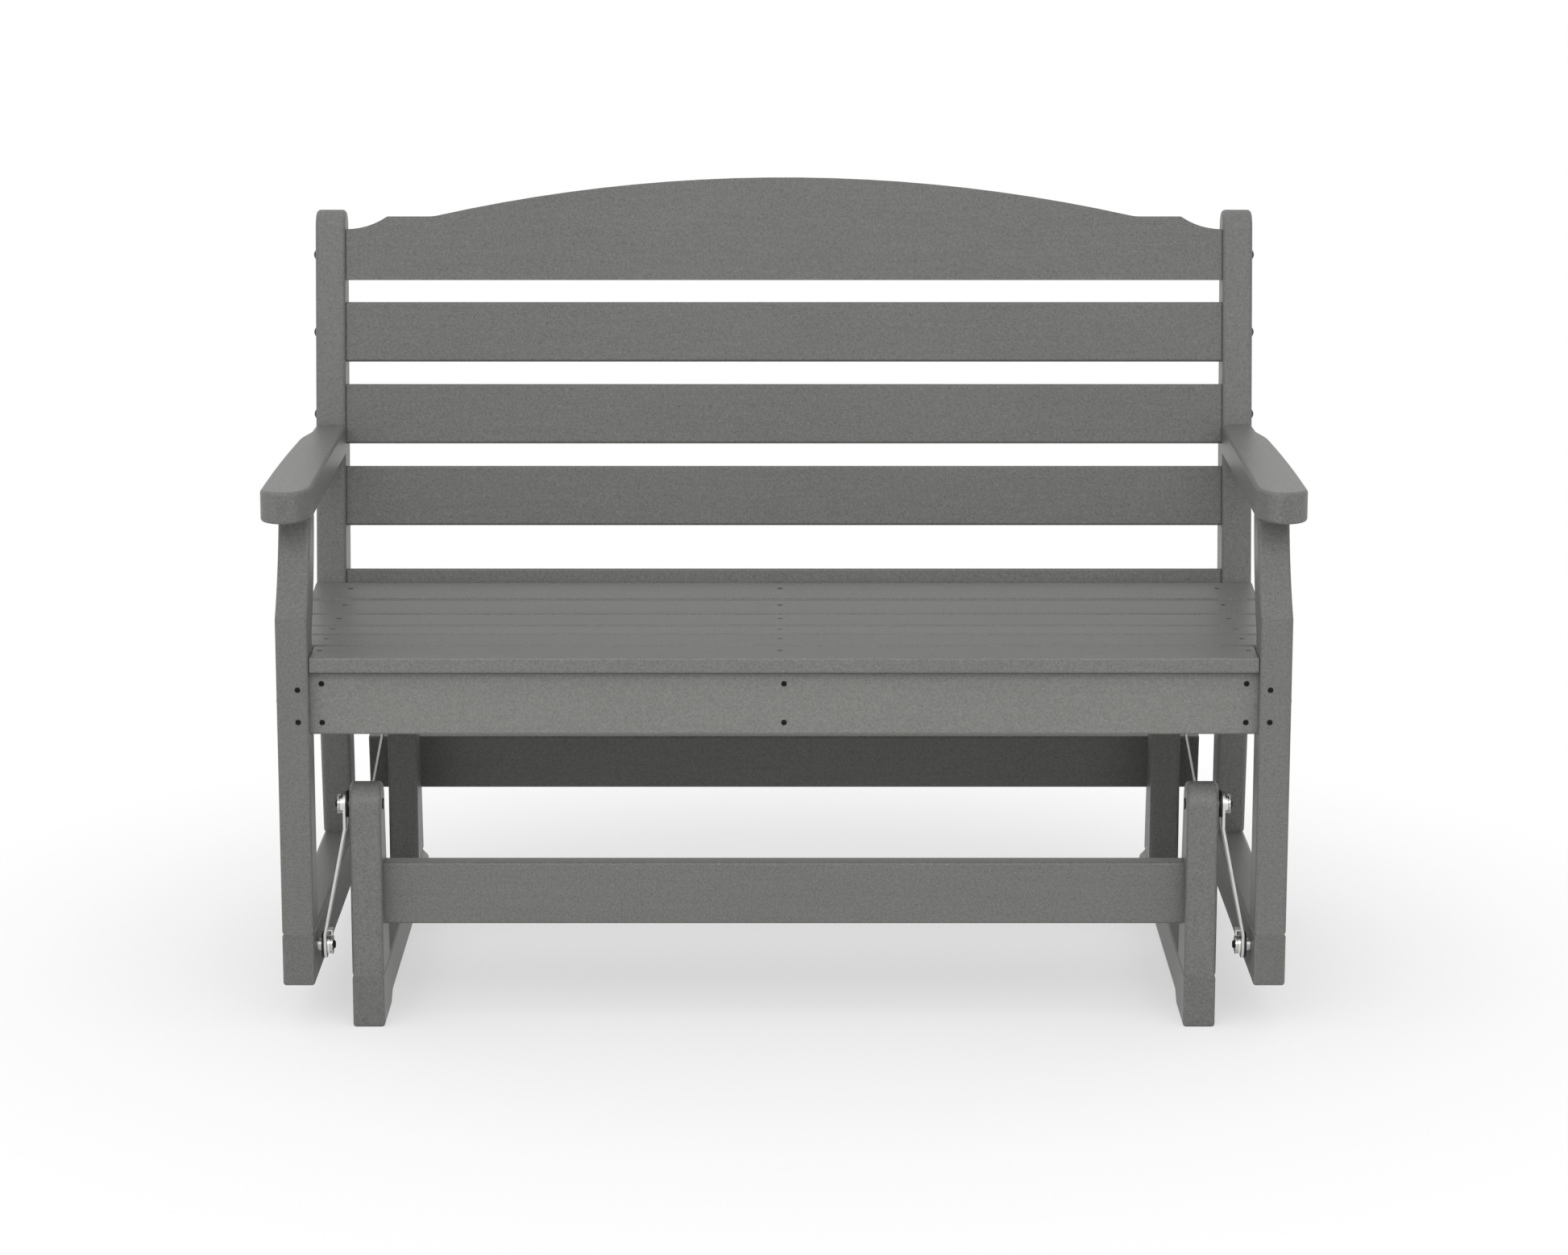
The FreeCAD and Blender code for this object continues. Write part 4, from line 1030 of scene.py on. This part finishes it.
class BENCH_OT_stage(bpy.types.Operator):
    """Set up the pale floor, the lamp, the room's light and the camera"""
    bl_idname = "bench.stage"
    bl_label = "Set Up Stage"

    def execute(self, context):
        settings = context.scene.bench_stage
        make_floor(settings)
        make_lamp(settings)
        make_room(settings)
        make_camera(settings)
        context.scene.view_settings.view_transform = "Standard"
        return {"FINISHED"}


def floor_finish(settings):
    """Pale floor that keeps the bench's shadow and turns plain white further away."""
    net = ShaderNet("studio_floor")
    seen = net.seen()
    tone = seen * (settings.floor_tone - settings.floor_bounce) + settings.floor_bounce
    matte = net.add("ShaderNodeBsdfPrincipled", {}, {"Base Color": net.grey(tone), "Roughness": 0.9})
    white = net.add("ShaderNodeEmission", {}, {"Color": (1.0, 1.0, 1.0, 1.0), "Strength": 1.0})
    away = net.add("ShaderNodeVectorMath", {"operation": "LENGTH"}, {0: net.place}, "Value")
    lift = away.between(settings.floor_reach * 0.4, settings.floor_reach)
    lift = lift * (1.0 - settings.floor_lift) + settings.floor_lift
    shader = net.add("ShaderNodeMixShader", {}, {0: seen * lift, 1: matte, 2: white})
    return net.finish(shader)


def make_floor(settings):
    """Wide flat floor."""
    half = FLOOR_HALF
    corners = [(-half, -half, 0.0), (half, -half, 0.0), (half, half, 0.0), (-half, half, 0.0)]
    mesh = bpy.data.meshes.new("studio_floor")
    mesh.from_pydata(corners, [], [(0, 1, 2, 3)])
    floor = bpy.data.objects.new("studio_floor", mesh)
    bpy.context.scene.collection.objects.link(floor)
    mesh.materials.append(floor_finish(settings))


def make_lamp(settings):
    """Wide soft lamp above and in front of the bench."""
    light = bpy.data.lights.new("front_lamp", "AREA")
    light.shape = "RECTANGLE"
    light.size, light.size_y = LAMP_SIZE
    light.energy = settings.front_power
    piece = bpy.data.objects.new("front_lamp", light)
    piece.location = LAMP_PLACE
    way = Vector(LAMP_TARGET) - Vector(LAMP_PLACE)
    piece.rotation_euler = way.to_track_quat("-Z", "Y").to_euler()
    bpy.context.scene.collection.objects.link(piece)


def make_room(settings):
    """Room whose light is stronger in front, above and on the left, and which is seen as white."""
    world = bpy.data.worlds.new("room")
    bpy.context.scene.world = world
    world.use_nodes = True
    net = Net(world.node_tree)
    net.tree.nodes.clear()
    seen = net.seen()
    way = net.add("ShaderNodeTexCoord", {}, {}, "Generated")
    aside = net.add("ShaderNodeSeparateXYZ", {}, {"Vector": way}, "X")
    ahead = -net.output_of(aside, "Y")
    above = net.output_of(aside, "Z").clamped()
    lean = ahead * settings.front_lean + above * settings.top_lean - aside * settings.side_lean
    lit = (1.0 + lean) * settings.room_light
    strength = seen + (1.0 - seen) * lit
    sky = net.add("ShaderNodeBackground", {}, {"Color": (1.0, 1.0, 1.0, 1.0), "Strength": strength})
    outlet = net.tree.nodes.new("ShaderNodeOutputWorld")
    net.tree.links.new(sky.socket, outlet.inputs["Surface"])


def make_camera(settings):
    camera = bpy.data.cameras.new("camera")
    camera.sensor_width = 36.0
    camera.sensor_fit = "HORIZONTAL"
    camera.lens = settings.lens
    camera.clip_end = 100.0
    piece = bpy.data.objects.new("camera", camera)
    piece.location = (0.0, -settings.camera_distance, settings.camera_height)
    piece.rotation_euler = (math.radians(90.0) - settings.camera_pitch, 0.0, 0.0)
    bpy.context.scene.collection.objects.link(piece)
    bpy.context.scene.camera = piece


# Panel and registration

STEPS = ("bench.lumber", "bench.links", "bench.screws", "bench.bolts", "bench.pivots", "bench.stage")
GROUPS = (
    ("bench_lumber", LumberSettings, "Lumber"),
    ("bench_screws", ScrewSettings, "Screws"),
    ("bench_bolts", BoltSettings, "Bolts"),
    ("bench_pivots", PivotSettings, "Pivots"),
    ("bench_stage", StageSettings, "Stage"),
)


class BENCH_PT_panel(bpy.types.Panel):
    """Buttons and sizes of the glider bench"""
    bl_idname = "BENCH_PT_panel"
    bl_label = "Glider Bench"
    bl_space_type = "VIEW_3D"
    bl_region_type = "UI"
    bl_category = "Glider Bench"

    def draw(self, context):
        buttons = self.layout.column(align=True)
        for step in STEPS:
            buttons.operator(step)
        for attribute, group, title in GROUPS:
            box = self.layout.box()
            box.label(text=title)
            for name in group.__annotations__:
                box.prop(getattr(context.scene, attribute), name)


CLASSES = [group for _, group, _ in GROUPS] + [
    BENCH_OT_lumber, BENCH_OT_links, BENCH_OT_screws, BENCH_OT_bolts, BENCH_OT_pivots, BENCH_OT_stage,
    BENCH_PT_panel,
]


def register():
    for item in CLASSES:
        bpy.utils.register_class(item)
    for attribute, group, _ in GROUPS:
        setattr(bpy.types.Scene, attribute, PointerProperty(type=group))


def unregister():
    for attribute, _, _ in GROUPS:
        delattr(bpy.types.Scene, attribute)
    for item in reversed(CLASSES):
        bpy.utils.unregister_class(item)


def main():
    register()
    bpy.ops.bench.lumber()
    bpy.ops.bench.links()
    bpy.ops.bench.screws()
    bpy.ops.bench.bolts()
    bpy.ops.bench.pivots()
    bpy.ops.bench.stage()


if __name__ == "__main__":
    main()
